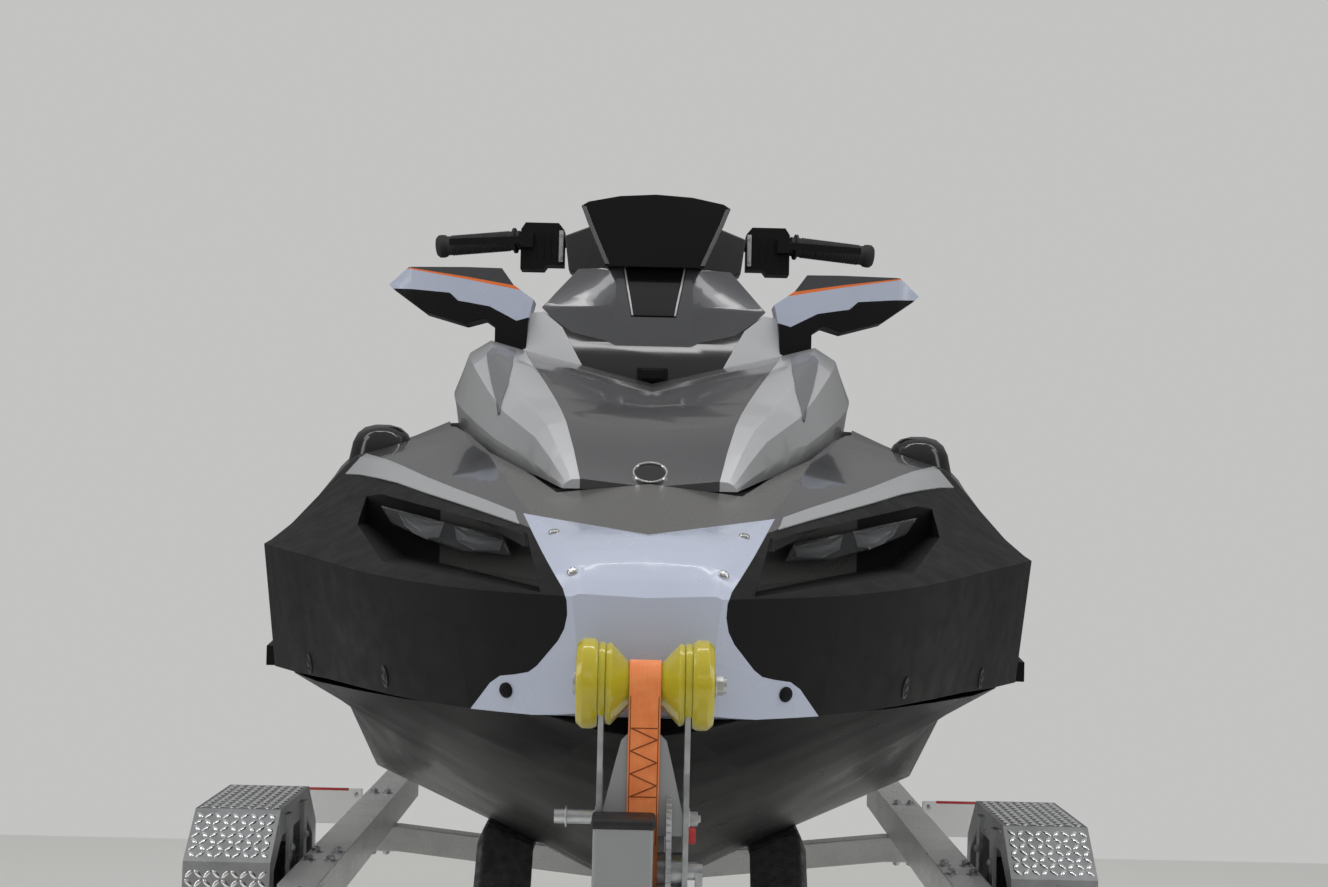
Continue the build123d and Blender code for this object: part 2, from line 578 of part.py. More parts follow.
MIRROR_SHELL = [(432, 1061), (397, 1087), (245, 1086), (226, 1060), (193, 1037), (200, 1008),
                (220, 1002), (263, 1024), (313, 1032), (328, 1045), (425, 1054)]
MIRROR_BASE = [(424, 1053), (328, 1044), (313, 1031), (263, 1023), (220, 1001), (201, 1007),
               (205, 920), (254, 920), (254, 992), (272, 1004), (303, 995), (368, 1013)]
MIRROR_PLAN = [(185, 1084), (300, 1080), (390, 1102), (436, 1146), (436, 1168), (185, 1168)]
mirror_space = plan_prism(MIRROR_PLAN, 900, 1100)
mirror_shell = front_prism(MIRROR_SHELL, 1070, 1180) & mirror_space
mirror_base = (front_prism(MIRROR_BASE, 1070, 1180) & mirror_space) - mirror_shell
mirror_base = mirror_base - console_sides
keep("mirrors", both(mirror_shell - console_sides))
keep("mirror_bases", both(mirror_base.solids().sort_by(SortBy.VOLUME)[-1]))
glass = front_prism([(418, 1060), (392, 1080), (250, 1079), (234, 1056), (262, 1032),
                     (312, 1038), (326, 1050)], 1168, 1171)
keep("mirror_glass", both(glass))


# Handlebar

BAR_R = 11.0
GRIP_R = 17.0
BAR_POINTS = [(0, 1446, 1140), (96, 1448, 1148), (150, 1452, 1172), (238, 1462, 1174),
              (383, 1486, 1162)]
PAD_OUTLINE = [(0, 1096), (92, 1098), (150, 1116), (158, 1178), (112, 1196), (0, 1198)]
pad = front_prism(mirrored(PAD_OUTLINE), 1406, 1474)
stem = rod(STEM_R, on_steering(-90), on_steering(4))
bar = None
for side in (1, -1):
    for start, end in zip(BAR_POINTS, BAR_POINTS[1:]):
        run = rod(BAR_R, (start[0] * side, *start[1:]), (end[0] * side, *end[1:]))
        bar = run if bar is None else bar + run
    for place in BAR_POINTS[1:-1]:
        bar += ball(BAR_R, (place[0] * side, *place[1:]))
grip_run = rod(GRIP_R, BAR_POINTS[3], BAR_POINTS[4])
keep("handlebar", bar - pad)
keep("bar_pad", pad + (stem - pad))
keep("grips", [solid - bar for solid in both(grip_run)])
switch = front_prism([(160, 1128), (160, 1190), (170, 1202), (228, 1202), (236, 1190),
                      (236, 1120), (196, 1120), (190, 1128)], 1428, 1490) - bar - grip_run
lever = front_prism([(226, 1164), (226, 1176), (360, 1168), (360, 1158)], 1410, 1424)
lever += front_prism([(214, 1156), (214, 1182), (236, 1180), (236, 1158)], 1410, 1428)
lever_piece = switch + lever
keep("hand_controls", both(lever_piece))


# Jet pump, steering nozzle, reverse bucket and boarding step

PUMP_H = 190.0
PUMP_R = 92.0
RIDE_H = (66.0, 80.0)
NOZZLE_PIVOT_S = 3370.0
BUCKET_AXIS = (3385.0, PUMP_H)
JET_R = 40.0
pump = rod(PUMP_R, (0, TUNNEL_FRONT_S, PUMP_H), (0, 3290, PUMP_H))
pump += Pos(0, along(3320), up(PUMP_H)) * Rot(-90, 0, 0) * Cone(PUMP_R, 56, 60)
pump += rod(50, (0, 3340, PUMP_H), (0, 3366, PUMP_H))
pump += block((-60, 60), (TUNNEL_FRONT_S, 3250), (RIDE_H[1], PUMP_H))
for side in (1, -1):
    pump += block(sorted((80 * side, 112 * side)), (3220, 3402), (PUMP_H - 14, PUMP_H + 14))
    pump += rod(8, (110 * side, *BUCKET_AXIS), (136 * side, *BUCKET_AXIS))
    low, high = sorted((44 * side, 56 * side))
    pump += block((-16, 16), (3318, 3386), (PUMP_H + low, PUMP_H + high))
    pump += rod(8, (0, NOZZLE_PIVOT_S, PUMP_H + 40 * side),
                (0, NOZZLE_PIVOT_S, PUMP_H + 84 * side))
pump -= rod(JET_R, (0, 3300, PUMP_H), (0, 3400, PUMP_H))
keep("jet_pump", pump)
keep("ride_plate", block((-TUNNEL_HALF, TUNNEL_HALF), (TUNNEL_FRONT_S, TRANSOM_S), RIDE_H))

nozzle = Pos(0, along(3452), up(PUMP_H)) * Rot(-90, 0, 0) * Cone(62, 50, 116)
for side in (1, -1):
    low, high = sorted((64 * side, 76 * side))
    ear = block((-18, 18), (3352, 3440), (PUMP_H + low, PUMP_H + high))
    low, high = sorted((50 * side, 76 * side))
    nozzle += block((-18, 18), (3400, 3440), (PUMP_H + low, PUMP_H + high))
    nozzle += ear
nozzle -= Pos(0, along(3452), up(PUMP_H)) * Rot(-90, 0, 0) * Cone(54, 42, 120)
nozzle -= rod(8 + PIN_GAP, (0, NOZZLE_PIVOT_S, PUMP_H - 90), (0, NOZZLE_PIVOT_S, PUMP_H + 90))
keep("steering_nozzle", nozzle)

BUCKET_R = (150.0, 158.0)
BUCKET_FROM, BUCKET_TO = 38.0, 92.0
ARM_X = (120.0, 130.0)


def bucket_point(radius, angle):
    turn = math.radians(angle)
    return (BUCKET_AXIS[0] + radius * math.cos(turn), BUCKET_AXIS[1] + radius * math.sin(turn))


steps = [BUCKET_FROM + (BUCKET_TO - BUCKET_FROM) * i / 6 for i in range(7)]
shell_outline = [bucket_point(BUCKET_R[1], a) for a in steps]
shell_outline += [bucket_point(BUCKET_R[0], a) for a in reversed(steps)]
bucket = side_prism(shell_outline, -ARM_X[1], ARM_X[1])
arm_outline = [bucket_point(18, BUCKET_FROM + 180), bucket_point(18, BUCKET_FROM - 60),
               bucket_point(BUCKET_R[1], BUCKET_FROM), bucket_point(BUCKET_R[1], 65),
               bucket_point(BUCKET_R[1], BUCKET_TO), bucket_point(18, BUCKET_TO + 60)]
for side in both(side_prism(arm_outline, *ARM_X)):
    bucket += side
bucket -= rod(8 + PIN_GAP, (-150, *BUCKET_AXIS), (150, *BUCKET_AXIS))
keep("reverse_bucket", bucket)

STEP_AXIS = (3350.0, 150.0)
STEP_REACH = 240.0
STEP_X = 192.0
STEP_PIN_R = 7.0
step_hinge = block((STEP_X - 26, STEP_X - 14), (TRANSOM_S, STEP_AXIS[0] + 10),
                   (STEP_AXIS[1] - 16, STEP_AXIS[1] + 16))
step_hinge += rod(STEP_PIN_R, (STEP_X - 16, *STEP_AXIS), (STEP_X + 12, *STEP_AXIS))
TOW_H = 436.0
tow_eye = block((-22, 22), (TRANSOM_S, TRANSOM_S + 6), (TOW_H - 26, TOW_H + 26))
tow_eye += block((-7, 7), (TRANSOM_S + 4, TRANSOM_S + 44), (TOW_H - 20, TOW_H + 20))
TOW_BORE_R = 11.0
tow_eye -= rod(TOW_BORE_R, (-10, TRANSOM_S + 26, TOW_H), (10, TRANSOM_S + 26, TOW_H))
keep("transom_fittings", both(step_hinge), tow_eye)

step = rod(10, (-STEP_X, STEP_AXIS[0], STEP_AXIS[1] + STEP_REACH),
           (STEP_X, STEP_AXIS[0], STEP_AXIS[1] + STEP_REACH))
step += block((-150, 150), (STEP_AXIS[0] - 8, STEP_AXIS[0] + 8),
              (STEP_AXIS[1] + STEP_REACH - 12, STEP_AXIS[1] + STEP_REACH + 16))
for side in (1, -1):
    x = STEP_X * side
    step += rod(10, (x, *STEP_AXIS), (x, STEP_AXIS[0], STEP_AXIS[1] + STEP_REACH))
    step += rod(16, (x - 8, *STEP_AXIS), (x + 8, *STEP_AXIS))
    step += ball(10, (x, STEP_AXIS[0], STEP_AXIS[1] + STEP_REACH))
step -= rod(STEP_PIN_R + PIN_GAP, (-STEP_X - 20, *STEP_AXIS), (STEP_X + 20, *STEP_AXIS))
keep("boarding_step", step)


# Trailer frame

TUBE = 75.0
RAIL_X = 630.0
RAIL_H = (-75.0, 0.0)
RAIL_REAR_S = 3500.0
BEND_S = 1650.0
RAIL_NOSE = (70.0, -20.0)
rail = plan_prism(ribbon([(RAIL_X, RAIL_REAR_S), (RAIL_X, BEND_S), RAIL_NOSE], TUBE), *RAIL_H)
TIE_BORE_R = 12.0
TIE_PLACE = (3260.0, -98.0)
tie_lug = block((RAIL_X - 5, RAIL_X + 5), (3232, 3288), (-122, RAIL_H[0]))
tie_lug -= rod(TIE_BORE_R, (RAIL_X - 10, *TIE_PLACE), (RAIL_X + 10, *TIE_PLACE))
keep("trailer_rails", both(rail + tie_lug))

TONGUE_HALF = 40.0
TONGUE_H = (RAIL_H[0] - 80.0, RAIL_H[0])
TONGUE_S = (-980.0, 240.0)
JACK_S = -600.0
JACK_PIVOT = (JACK_S, -115.0)
JACK_X = 88.0
tongue = block((-TONGUE_HALF, TONGUE_HALF), TONGUE_S, TONGUE_H)
jack_plate = block((TONGUE_HALF, TONGUE_HALF + 8), (JACK_S - 60, JACK_S + 60), TONGUE_H)
jack_plate += rod(12, (TONGUE_HALF, *JACK_PIVOT), (JACK_X - 18, *JACK_PIVOT))
jack_plate += rod(26, (TONGUE_HALF, *JACK_PIVOT), (TONGUE_HALF + 12, *JACK_PIVOT))
keep("tongue", tongue + jack_plate)

cross_pieces = []
CROSS_THICK = 60.0
CROSS_DIP = 62.0
for s in (1560.0, 2960.0):
    rail_x = RAIL_X if s > BEND_S else RAIL_X - (BEND_S - s) * (RAIL_X - RAIL_NOSE[0]) / (
        BEND_S - RAIL_NOSE[1])
    inner = rail_x - TUBE / 2 - 10
    outline = [(rail_x + TUBE / 2, RAIL_H[0]), (inner, RAIL_H[0]), (0, RAIL_H[0] - CROSS_DIP),
               (0, RAIL_H[0] - CROSS_DIP - CROSS_THICK), (inner, RAIL_H[0] - CROSS_THICK),
               (rail_x + TUBE / 2, RAIL_H[0] - CROSS_THICK)]
    half = front_prism(outline, s - CROSS_THICK / 2, s + CROSS_THICK / 2)
    cross_pieces.append(half + mirror(half, about=Plane.YZ))
keep("cross_members", cross_pieces)

BUNK_X = 235.0
bunk_run = loft([polygon([(x, along(s), up(h)) for x, h in outline]) for s, outline in (
    (1405, [(190, 6), (280, 40), (294, 5), (204, -30)]),
    (1500, [(190, 98), (280, 134), (294, 98), (204, 62)]),
)], ruled=True)
bunk_long = front_prism([(190, 98), (280, 134), (294, 98), (204, 62)], 1500, 3270)
bunk_long = bunk_long & side_prism([(1490, 300), (1490, 40), (3280, 24), (3280, 300)], 100, 400)
bunk = (bunk_long + bunk_run) - hull
keep("bunks", both(bunk))

brackets = []
for s in (1560.0, 2960.0):
    upright = block((BUNK_X - 5, BUNK_X + 5), (s - 25, s + 25), (-140, 80))
    upright += block((BUNK_X - 30, BUNK_X + 34), (s - 25, s + 25), (30, 80))
    upright = upright - bunk
    for member in cross_pieces:
        upright = upright - member
    brackets.extend(both(upright.solids().sort_by(SortBy.VOLUME)[-1]))
keep("bunk_brackets", brackets)

AXLE_S = 1980.0
TYRE_R = 265.0
TYRE_HALF = 70.0
HUB_H = TYRE_R - KEEL_HEIGHT
FENDER_X = (RAIL_X + TUBE / 2 + 20.5, 850.0)
WHEEL_X = (FENDER_X[0] + FENDER_X[1]) / 2
STUB_R = 15.0
ARM_X = (RAIL_X + TUBE / 2, RAIL_X + TUBE / 2 + 20)
ARM_ROOT = (AXLE_S - 130, RAIL_H[0] - 32)
axle = block((-ARM_X[0] - 4, ARM_X[0] + 4), (ARM_ROOT[0] - 32, ARM_ROOT[0] + 32),
             (RAIL_H[0] - 64, RAIL_H[0]))
for side in (1, -1):
    arm = side_prism(ribbon([(ARM_ROOT[0] - 10, ARM_ROOT[1] + 6), (AXLE_S + 12, HUB_H - 8)],
                            50), *sorted((ARM_X[0] * side, ARM_X[1] * side)))
    axle += arm + rod(STUB_R, ((ARM_X[1] - 2) * side, AXLE_S, HUB_H),
                      ((WHEEL_X + 36) * side, AXLE_S, HUB_H))
keep("axle", axle)

TYRE_PROFILE = [(-60, 168), (-TYRE_HALF, 208), (-62, 250), (-36, TYRE_R), (36, TYRE_R),
                (62, 250), (TYRE_HALF, 208), (60, 168)]
RIM_PROFILE = [(-60, 168), (60, 168), (60, 158), (22, 150), (18, 42), (32, 36),
               (32, STUB_R + PIN_GAP), (-25, STUB_R + PIN_GAP), (-25, 38), (4, 42), (8, 146),
               (-60, 156)]
for name, side in (("left", 1), ("right", -1)):
    tyre = turned_on_x([(x * side, r) for x, r in TYRE_PROFILE], WHEEL_X * side, AXLE_S, HUB_H)
    rim = turned_on_x([(x * side, r) for x, r in RIM_PROFILE], WHEEL_X * side, AXLE_S, HUB_H)
    keep("tyre_" + name, tyre)
    keep("rim_" + name, rim)

FENDER_THICK = 4.0
SKIRT_THICK = 3.0
FENDER_LINE = [(-304, -150), (-290, 30), (-180, 112)]   # (s from the axle, h), front half
SKIRT_LINE = [(-262, -150), (-246, 8), (-160, 62)]


def over_wheel(half):
    """A front half line over the wheel, made whole."""
    front = [(AXLE_S + s, h) for s, h in half]
    return front + [(AXLE_S - s, h) for s, h in reversed(half)]


fender = side_prism(ribbon(over_wheel(FENDER_LINE), FENDER_THICK), *FENDER_X)
fender += side_prism(over_wheel(FENDER_LINE) + over_wheel(SKIRT_LINE)[::-1],
                     FENDER_X[0], FENDER_X[0] + SKIRT_THICK)
for s in (AXLE_S - 90, AXLE_S + 90):
    fender += block((RAIL_X + TUBE / 2, FENDER_X[0]), (s - 20, s + 20), (-40, -30))
    fender += block((FENDER_X[0] - 8, FENDER_X[0]), (s - 20, s + 20), (-40, 96))
keep("fenders", both(fender))

BOARD_S = 2900.0
BOARD_H = (-67.0, 17.0)
BOARD_END_X = 822.0
lamp_board = block((RAIL_X + TUBE / 2, BOARD_END_X), (BOARD_S, BOARD_S + 6), BOARD_H)
keep("light_boards", both(lamp_board))
keep("tail_lights", both(block((RAIL_X + TUBE / 2 + 24, BOARD_END_X - 16),
                               (BOARD_S + 6, BOARD_S + 42), (BOARD_H[0] + 8, BOARD_H[1] - 8))))

coupler = block((-38, 38), (-TONGUE_REACH, TONGUE_S[0]), (TONGUE_H[0] + 4, TONGUE_H[1] + 12))
coupler += block((-38, 38), (TONGUE_S[0], -870), (TONGUE_H[1], TONGUE_H[1] + 12))
coupler += block((-9, 9), (-1090, -900), (TONGUE_H[1] + 12, TONGUE_H[1] + 34))
SOCKET_S = -1106.0
SOCKET_R = 25.8
SOCKET_TOP_H = -88.0
coupler -= rod(SOCKET_R, (0, SOCKET_S, TONGUE_H[0] - 5), (0, SOCKET_S, SOCKET_TOP_H))
keep("coupler", coupler)


# Swing jack

FOOT_AHEAD = 24.0
FOOT_HALF = (JACK_X - TONGUE_HALF - MOVE_GAP, 62.0)   # across, along
jack_tube = rod(25, (JACK_X, JACK_S, -440), (JACK_X, JACK_S, 190))
jack_foot = block((JACK_X - FOOT_HALF[0], JACK_X + FOOT_HALF[0]),
                  (JACK_S - FOOT_AHEAD - FOOT_HALF[1], JACK_S - FOOT_AHEAD + FOOT_HALF[1]),
                  (-KEEL_HEIGHT, 10 - KEEL_HEIGHT))
jack_leg = rod(19, (JACK_X, JACK_S, -490), (JACK_X, JACK_S, -430))
jack_head = rod(9, (JACK_X, JACK_S, 190), (JACK_X, JACK_S, 214))
jack_head += rod(7, (JACK_X, JACK_S, 210), (JACK_X + 120, JACK_S, 210))
jack_head += rod(9, (JACK_X + 118, JACK_S, 210), (JACK_X + 118, JACK_S, 264))
jack = jack_tube + jack_foot + jack_leg + jack_head
jack += block((JACK_X - 34, JACK_X + 34), (JACK_S - 34, JACK_S + 34),
              (JACK_PIVOT[1] - 34, JACK_PIVOT[1] + 34))
jack -= rod(12 + PIN_GAP, (JACK_X - 40, *JACK_PIVOT), (JACK_X - 14, *JACK_PIVOT))
jack = jack.solids().sort_by(SortBy.VOLUME)[-1]
keep("jack", jack)


# Winch post, winch, bow roller and strap

POST_HALF = 32.5
POST_X = -20.0
POST_S = -112.0
POST_TOP_H = 374.0
ROLLER_R = 50.0
ROLLER = (-ROLLER_R - SEAT_GAP, 516.0)
WAIST_R = 24.0
SHAFT_R = 9.0
DRUM = (-42.0, 310.0)
CRANK_X = (60.0, 68.0)
CRANK_REACH = 120.0
FLANGE_R = 36.0
GEAR_R = 90.0
FRAME_X = (45.0, 51.0)
post = block((POST_X - POST_HALF, POST_X + POST_HALF), (POST_S - POST_HALF,
                                                        POST_S + POST_HALF),
             (RAIL_H[0], POST_TOP_H))
keep("winch_post", post)

arm = block(FRAME_X, (ROLLER[0] - 19, ROLLER[0] + 19), (236, ROLLER[1] + 20))
plate = side_prism([(POST_S + POST_HALF + 2, 226), (8, 226), (8, 300), (-18, 420), (-70, 420),
                    (POST_S + POST_HALF + 2, 390)], *FRAME_X)
frame = both(arm + plate)
winch = frame[0] + frame[1]
winch += block((-FRAME_X[1], FRAME_X[1]), (POST_S + POST_HALF, -30), (220, 228))
winch += block((-FRAME_X[1], FRAME_X[1]), (POST_S + POST_HALF, POST_S + POST_HALF + 5),
               (220, 268))
winch += rod(20, (-FRAME_X[0], *DRUM), (FRAME_X[0], *DRUM))
winch += rod(FLANGE_R, (26, *DRUM), (32, *DRUM)) + rod(FLANGE_R, (-32, *DRUM), (-26, *DRUM))
winch += rod(GEAR_R, (26, *DRUM), (32, *DRUM))
winch += rod(8, (-98, -30, 366), (FRAME_X[1], -30, 366))
winch += rod(SHAFT_R, (-80, *ROLLER), (90, *ROLLER))
winch += rod(10, (FRAME_X[0], *DRUM), (CRANK_X[1], *DRUM))
winch += side_prism(ribbon([DRUM, (DRUM[0], DRUM[1] - CRANK_REACH)], 24), *CRANK_X)
winch += rod(12, (CRANK_X[0], DRUM[0], DRUM[1] - CRANK_REACH),
             (CRANK_X[1] + 84, DRUM[0], DRUM[1] - CRANK_REACH))
keep("winch", winch)

spool = turned_on_x([(-44, SHAFT_R), (-44, 44), (-38, 46), (-18, WAIST_R), (18, WAIST_R),
                     (38, 46), (44, 44), (44, SHAFT_R)], 0, *ROLLER)
end_cap = turned_on_x([(52, SHAFT_R), (52, 47), (57, ROLLER_R), (69, ROLLER_R), (76, 44),
                       (76, SHAFT_R)], 0, *ROLLER)
keep("bow_roller", spool, both(end_cap))

STRAP = 3.0
STRAP_HALF = 17.5
ROLL_R = 33.0
strap_path = [(EYE_POINT[0] - 3, EYE_POINT[1] + 14)]
wrap = WAIST_R + STRAP / 2 + SEAT_GAP
for angle in range(10, 181, 17):
    turn = math.radians(angle)
    strap_path.append((ROLLER[0] + wrap * math.cos(turn), ROLLER[1] + wrap * math.sin(turn)))
strap_path.append((DRUM[0] - ROLL_R + STRAP / 2, DRUM[1]))
strap = side_prism(ribbon(strap_path, STRAP), -STRAP_HALF, STRAP_HALF)
roll = rod(ROLL_R, (-STRAP_HALF, *DRUM), (STRAP_HALF, *DRUM))
roll -= rod(20, (-STRAP_HALF - 1, *DRUM), (STRAP_HALF + 1, *DRUM))
keep("winch_strap", strap + roll)


os.makedirs("parts", exist_ok=True)
for name, solids in PARTS.items():
    shape = solids[0] if len(solids) == 1 else Compound(children=solids)
    export_step(shape, f"parts/{name}.step")
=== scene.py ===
import json
import math

import bmesh
import bpy
from mathutils import Matrix, Vector


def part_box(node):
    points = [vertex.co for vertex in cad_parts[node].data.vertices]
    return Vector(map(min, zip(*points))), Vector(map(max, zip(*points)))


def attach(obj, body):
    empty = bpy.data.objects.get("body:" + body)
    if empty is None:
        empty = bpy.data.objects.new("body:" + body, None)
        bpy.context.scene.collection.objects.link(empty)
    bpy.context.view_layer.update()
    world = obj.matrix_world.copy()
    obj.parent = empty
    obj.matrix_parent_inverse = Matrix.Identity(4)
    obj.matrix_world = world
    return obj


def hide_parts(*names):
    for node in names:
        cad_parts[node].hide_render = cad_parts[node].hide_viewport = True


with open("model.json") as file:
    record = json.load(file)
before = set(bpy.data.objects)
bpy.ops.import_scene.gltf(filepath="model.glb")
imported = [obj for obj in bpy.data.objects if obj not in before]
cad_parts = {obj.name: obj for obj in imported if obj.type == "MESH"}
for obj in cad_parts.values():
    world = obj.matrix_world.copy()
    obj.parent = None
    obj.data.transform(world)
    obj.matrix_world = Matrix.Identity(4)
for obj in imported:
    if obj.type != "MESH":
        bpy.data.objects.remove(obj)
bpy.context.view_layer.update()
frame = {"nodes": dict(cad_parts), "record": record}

# The camera stands low and close ahead of the bow, a little out of level, as the
# photographer held it. Its focal length is in pixels of a frame 1328 wide.
BOW_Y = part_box("bow_plate")[0].y
KEEL_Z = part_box("hull")[0].z
FRAME_WIDTH_PX = 1328.0
FOCAL_PX = 2300.0
SENSOR_MM = 36.0
EYE_AHEAD = 2.6
EYE_HEIGHT = 1.22
PAN, PITCH, ROLL = -0.33, 1.41, 1.3

lens = bpy.data.cameras.new("photo_camera")
lens.sensor_width = SENSOR_MM
lens.lens = SENSOR_MM * FOCAL_PX / FRAME_WIDTH_PX
lens.clip_start = 0.05
camera = bpy.data.objects.new("photo_camera", lens)
bpy.context.scene.collection.objects.link(camera)
aim = (Matrix.Rotation(math.radians(PAN), 4, "Z")
       @ Matrix.Rotation(math.radians(90 + PITCH), 4, "X")
       @ Matrix.Rotation(math.radians(ROLL), 4, "Z"))
camera.matrix_world = Matrix.Translation((0, BOW_Y - EYE_AHEAD, EYE_HEIGHT)) @ aim
bpy.context.scene.camera = camera
bpy.context.scene.view_settings.view_transform = "Standard"

# The room: a pale floor that ends at the foot of a pale wall, an even grey light in the
# wall's place, a dimmer hall for gloss to mirror, and wide soft lamps overhead and ahead.
WALL_Y = 4.26
WALL_GREY = (0.55, 0.55, 0.545)
HALL_LOW, HALL_HIGH = 0.12, 0.44      # what gloss mirrors level with it, and overhead
SKY_LEVEL = 0.62
FLOOR_WIDE, FLOOR_AHEAD = 26, 14
FLOOR_GREY = (0.70, 0.705, 0.675)

world = bpy.data.worlds.new("room")
bpy.context.scene.world = world
world.use_nodes = True
tree = world.node_tree
sky = tree.nodes["Background"]
sky.inputs["Color"].default_value = (1, 1, 1, 1)
sky.inputs["Strength"].default_value = SKY_LEVEL
rays = tree.nodes.new("ShaderNodeLightPath")
shown = sky
for name, colour, ways in (
        ("far_wall", WALL_GREY, ("Is Camera Ray", "Is Transmission Ray")),
        ("dim_hall", (1, 1, 1), ("Is Glossy Ray",))):
    view = tree.nodes.new("ShaderNodeBackground")
    view.name = name
    view.inputs["Color"].default_value = (*colour, 1)
    kinds = tree.nodes.new("ShaderNodeMath")
    kinds.operation = "MAXIMUM"
    kinds.inputs[1].default_value = 0
    for number, way in enumerate(ways):
        tree.links.new(rays.outputs[way], kinds.inputs[number])
    choice = tree.nodes.new("ShaderNodeMixShader")
    tree.links.new(kinds.outputs[0], choice.inputs[0])
    tree.links.new(shown.outputs[0], choice.inputs[1])
    tree.links.new(view.outputs[0], choice.inputs[2])
    shown = choice
tree.links.new(shown.outputs[0], tree.nodes["World Output"].inputs["Surface"])
heading = tree.nodes.new("ShaderNodeTexCoord")
upward = tree.nodes.new("ShaderNodeSeparateXYZ")
brightness = tree.nodes.new("ShaderNodeMapRange")
brightness.interpolation_type = "SMOOTHSTEP"
for socket, value in (("From Min", 0.05), ("From Max", 0.85),
                      ("To Min", HALL_LOW), ("To Max", HALL_HIGH)):
    brightness.inputs[socket].default_value = value
tree.links.new(heading.outputs["Generated"], upward.inputs[0])
tree.links.new(upward.outputs["Z"], brightness.inputs["Value"])
tree.links.new(brightness.outputs["Result"], tree.nodes["dim_hall"].inputs["Strength"])

bpy.ops.object.select_all(action="DESELECT")
bpy.ops.mesh.primitive_plane_add(size=1, location=(0, (WALL_Y - FLOOR_AHEAD) / 2, 0))
floor = bpy.context.object
floor.name = "studio_floor"
floor.scale = (FLOOR_WIDE, WALL_Y + FLOOR_AHEAD, 1)
bpy.ops.object.transform_apply(location=True, rotation=True, scale=True)
floor_finish = bpy.data.materials.new("studio_floor")
floor_finish.use_nodes = True
floor_shader = floor_finish.node_tree.nodes["Principled BSDF"]
floor_shader.inputs["Base Color"].default_value = (*FLOOR_GREY, 1)
floor_shader.inputs["Roughness"].default_value = 0.55
floor.data.materials.append(floor_finish)

LAMPS = [
    # name, place, aimed at, width, length, watts, mirrored in gloss
    ("ceiling_lamp", (0.0, 0.3, 3.7), (0.0, 0.3, 0.0), 2.6, 5.0, 43.0, False),
    ("ahead_lamp", (0.0, -5.6, 3.0), (0.0, -0.8, 0.8), 3.6, 1.4, 46.0, False),
    ("left_tube", (0.9, -0.4, 3.4), (0.3, -0.4, 0.0), 0.16, 4.4, 9.0, True),
    ("right_tube", (-0.9, -0.4, 3.4), (-0.3, -0.4, 0.0), 0.16, 4.4, 9.0, True),
    ("left_lamp", (3.6, -1.2, 2.2), (0.0, -0.4, 0.8), 0.7, 4.0, 18.0, True),
    ("right_lamp", (-3.6, -1.2, 2.2), (0.0, -0.4, 0.8), 0.7, 4.0, 22.0, True),
]
for name, where, target, width, length, watts, mirrored in LAMPS:
    lamp_data = bpy.data.lights.new(name, "AREA")
    lamp_data.shape = "RECTANGLE"
    lamp_data.size = width
    lamp_data.size_y = length
    lamp_data.energy = watts
    studio_lamp = bpy.data.objects.new(name, lamp_data)
    studio_lamp.visible_camera = False
    studio_lamp.visible_glossy = mirrored
    facing = (Vector(target) - Vector(where)).to_track_quat("-Z", "Y")
    studio_lamp.matrix_world = Matrix.Translation(where) @ facing.to_matrix().to_4x4()
    bpy.context.scene.collection.objects.link(studio_lamp)


# Trailer rails and cross members: box extrusions of bare aluminium. The rails run out from
# the tongue, bend and run back beside the hull; the shallow V members are bolted under them.
ROOT = "craft_on_trailer"
BODY_OF = {node: body for body, nodes in frame["record"]["behaviour"]["bodies"].items()
           for node in nodes}


def place(x, s, h):
    """A point from millimetres: x to the left, s behind the bow tip, h over the keel."""
    return Vector((x / 1000, BOW_Y + s / 1000, KEEL_Z + h / 1000))


def pick(*pieces):
    """Selects these objects alone, the first one active."""
    bpy.ops.object.select_all(action="DESELECT")
    for piece in pieces:
        piece.select_set(True)
    bpy.context.view_layer.objects.active = pieces[0]


def soften(piece, edge, segments=2, angle=30.0, crease=40.0):
    """Rounds the edges by a width in metres and shades the piece smooth between creases."""
    pick(piece)
    if edge > 0:
        rounding = piece.modifiers.new("rounding", "BEVEL")
        rounding.width = edge
        rounding.segments = segments
        rounding.limit_method = "ANGLE"
        rounding.angle_limit = math.radians(angle)
        bpy.ops.object.modifier_apply(modifier="rounding")
    bpy.ops.object.shade_smooth_by_angle(angle=math.radians(crease))
    weights = piece.modifiers.new("weights", "WEIGHTED_NORMAL")
    weights.keep_sharp = True
    bpy.ops.object.modifier_apply(modifier="weights")


def settle(piece, name, finish, body=ROOT):
    """Names a piece and gives it its finish and the body that it rides on."""
    piece.name = name
    piece.data.name = name
    piece.data.materials.clear()
    piece.data.materials.append(finish)
    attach(piece, body)
    return piece


def merged_copy(node):
    """A copy of a solid's mesh with its triangles joined into whole faces."""
    piece = bpy.data.objects.new(node + "_copy", frame["nodes"][node].data.copy())
    bpy.context.scene.collection.objects.link(piece)
    pick(piece)
    bpy.ops.mesh.customdata_custom_splitnormals_clear()
    bpy.ops.object.mode_set(mode="EDIT")
    bpy.ops.mesh.select_all(action="SELECT")
    bpy.ops.mesh.remove_doubles(threshold=0.00002)
    bpy.ops.mesh.dissolve_limited(angle_limit=math.radians(0.8))
    bpy.ops.object.mode_set(mode="OBJECT")
    return piece


def dress(node, finish, edge=0.0015, segments=2, angle=30.0, crease=40.0):
    """Shows a copy of a solid in its place, with rounded edges and its finish."""
    piece = merged_copy(node)
    soften(piece, edge, segments, angle, crease)
    settle(piece, node + "_piece", finish, BODY_OF[node])
    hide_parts(node)
    return piece


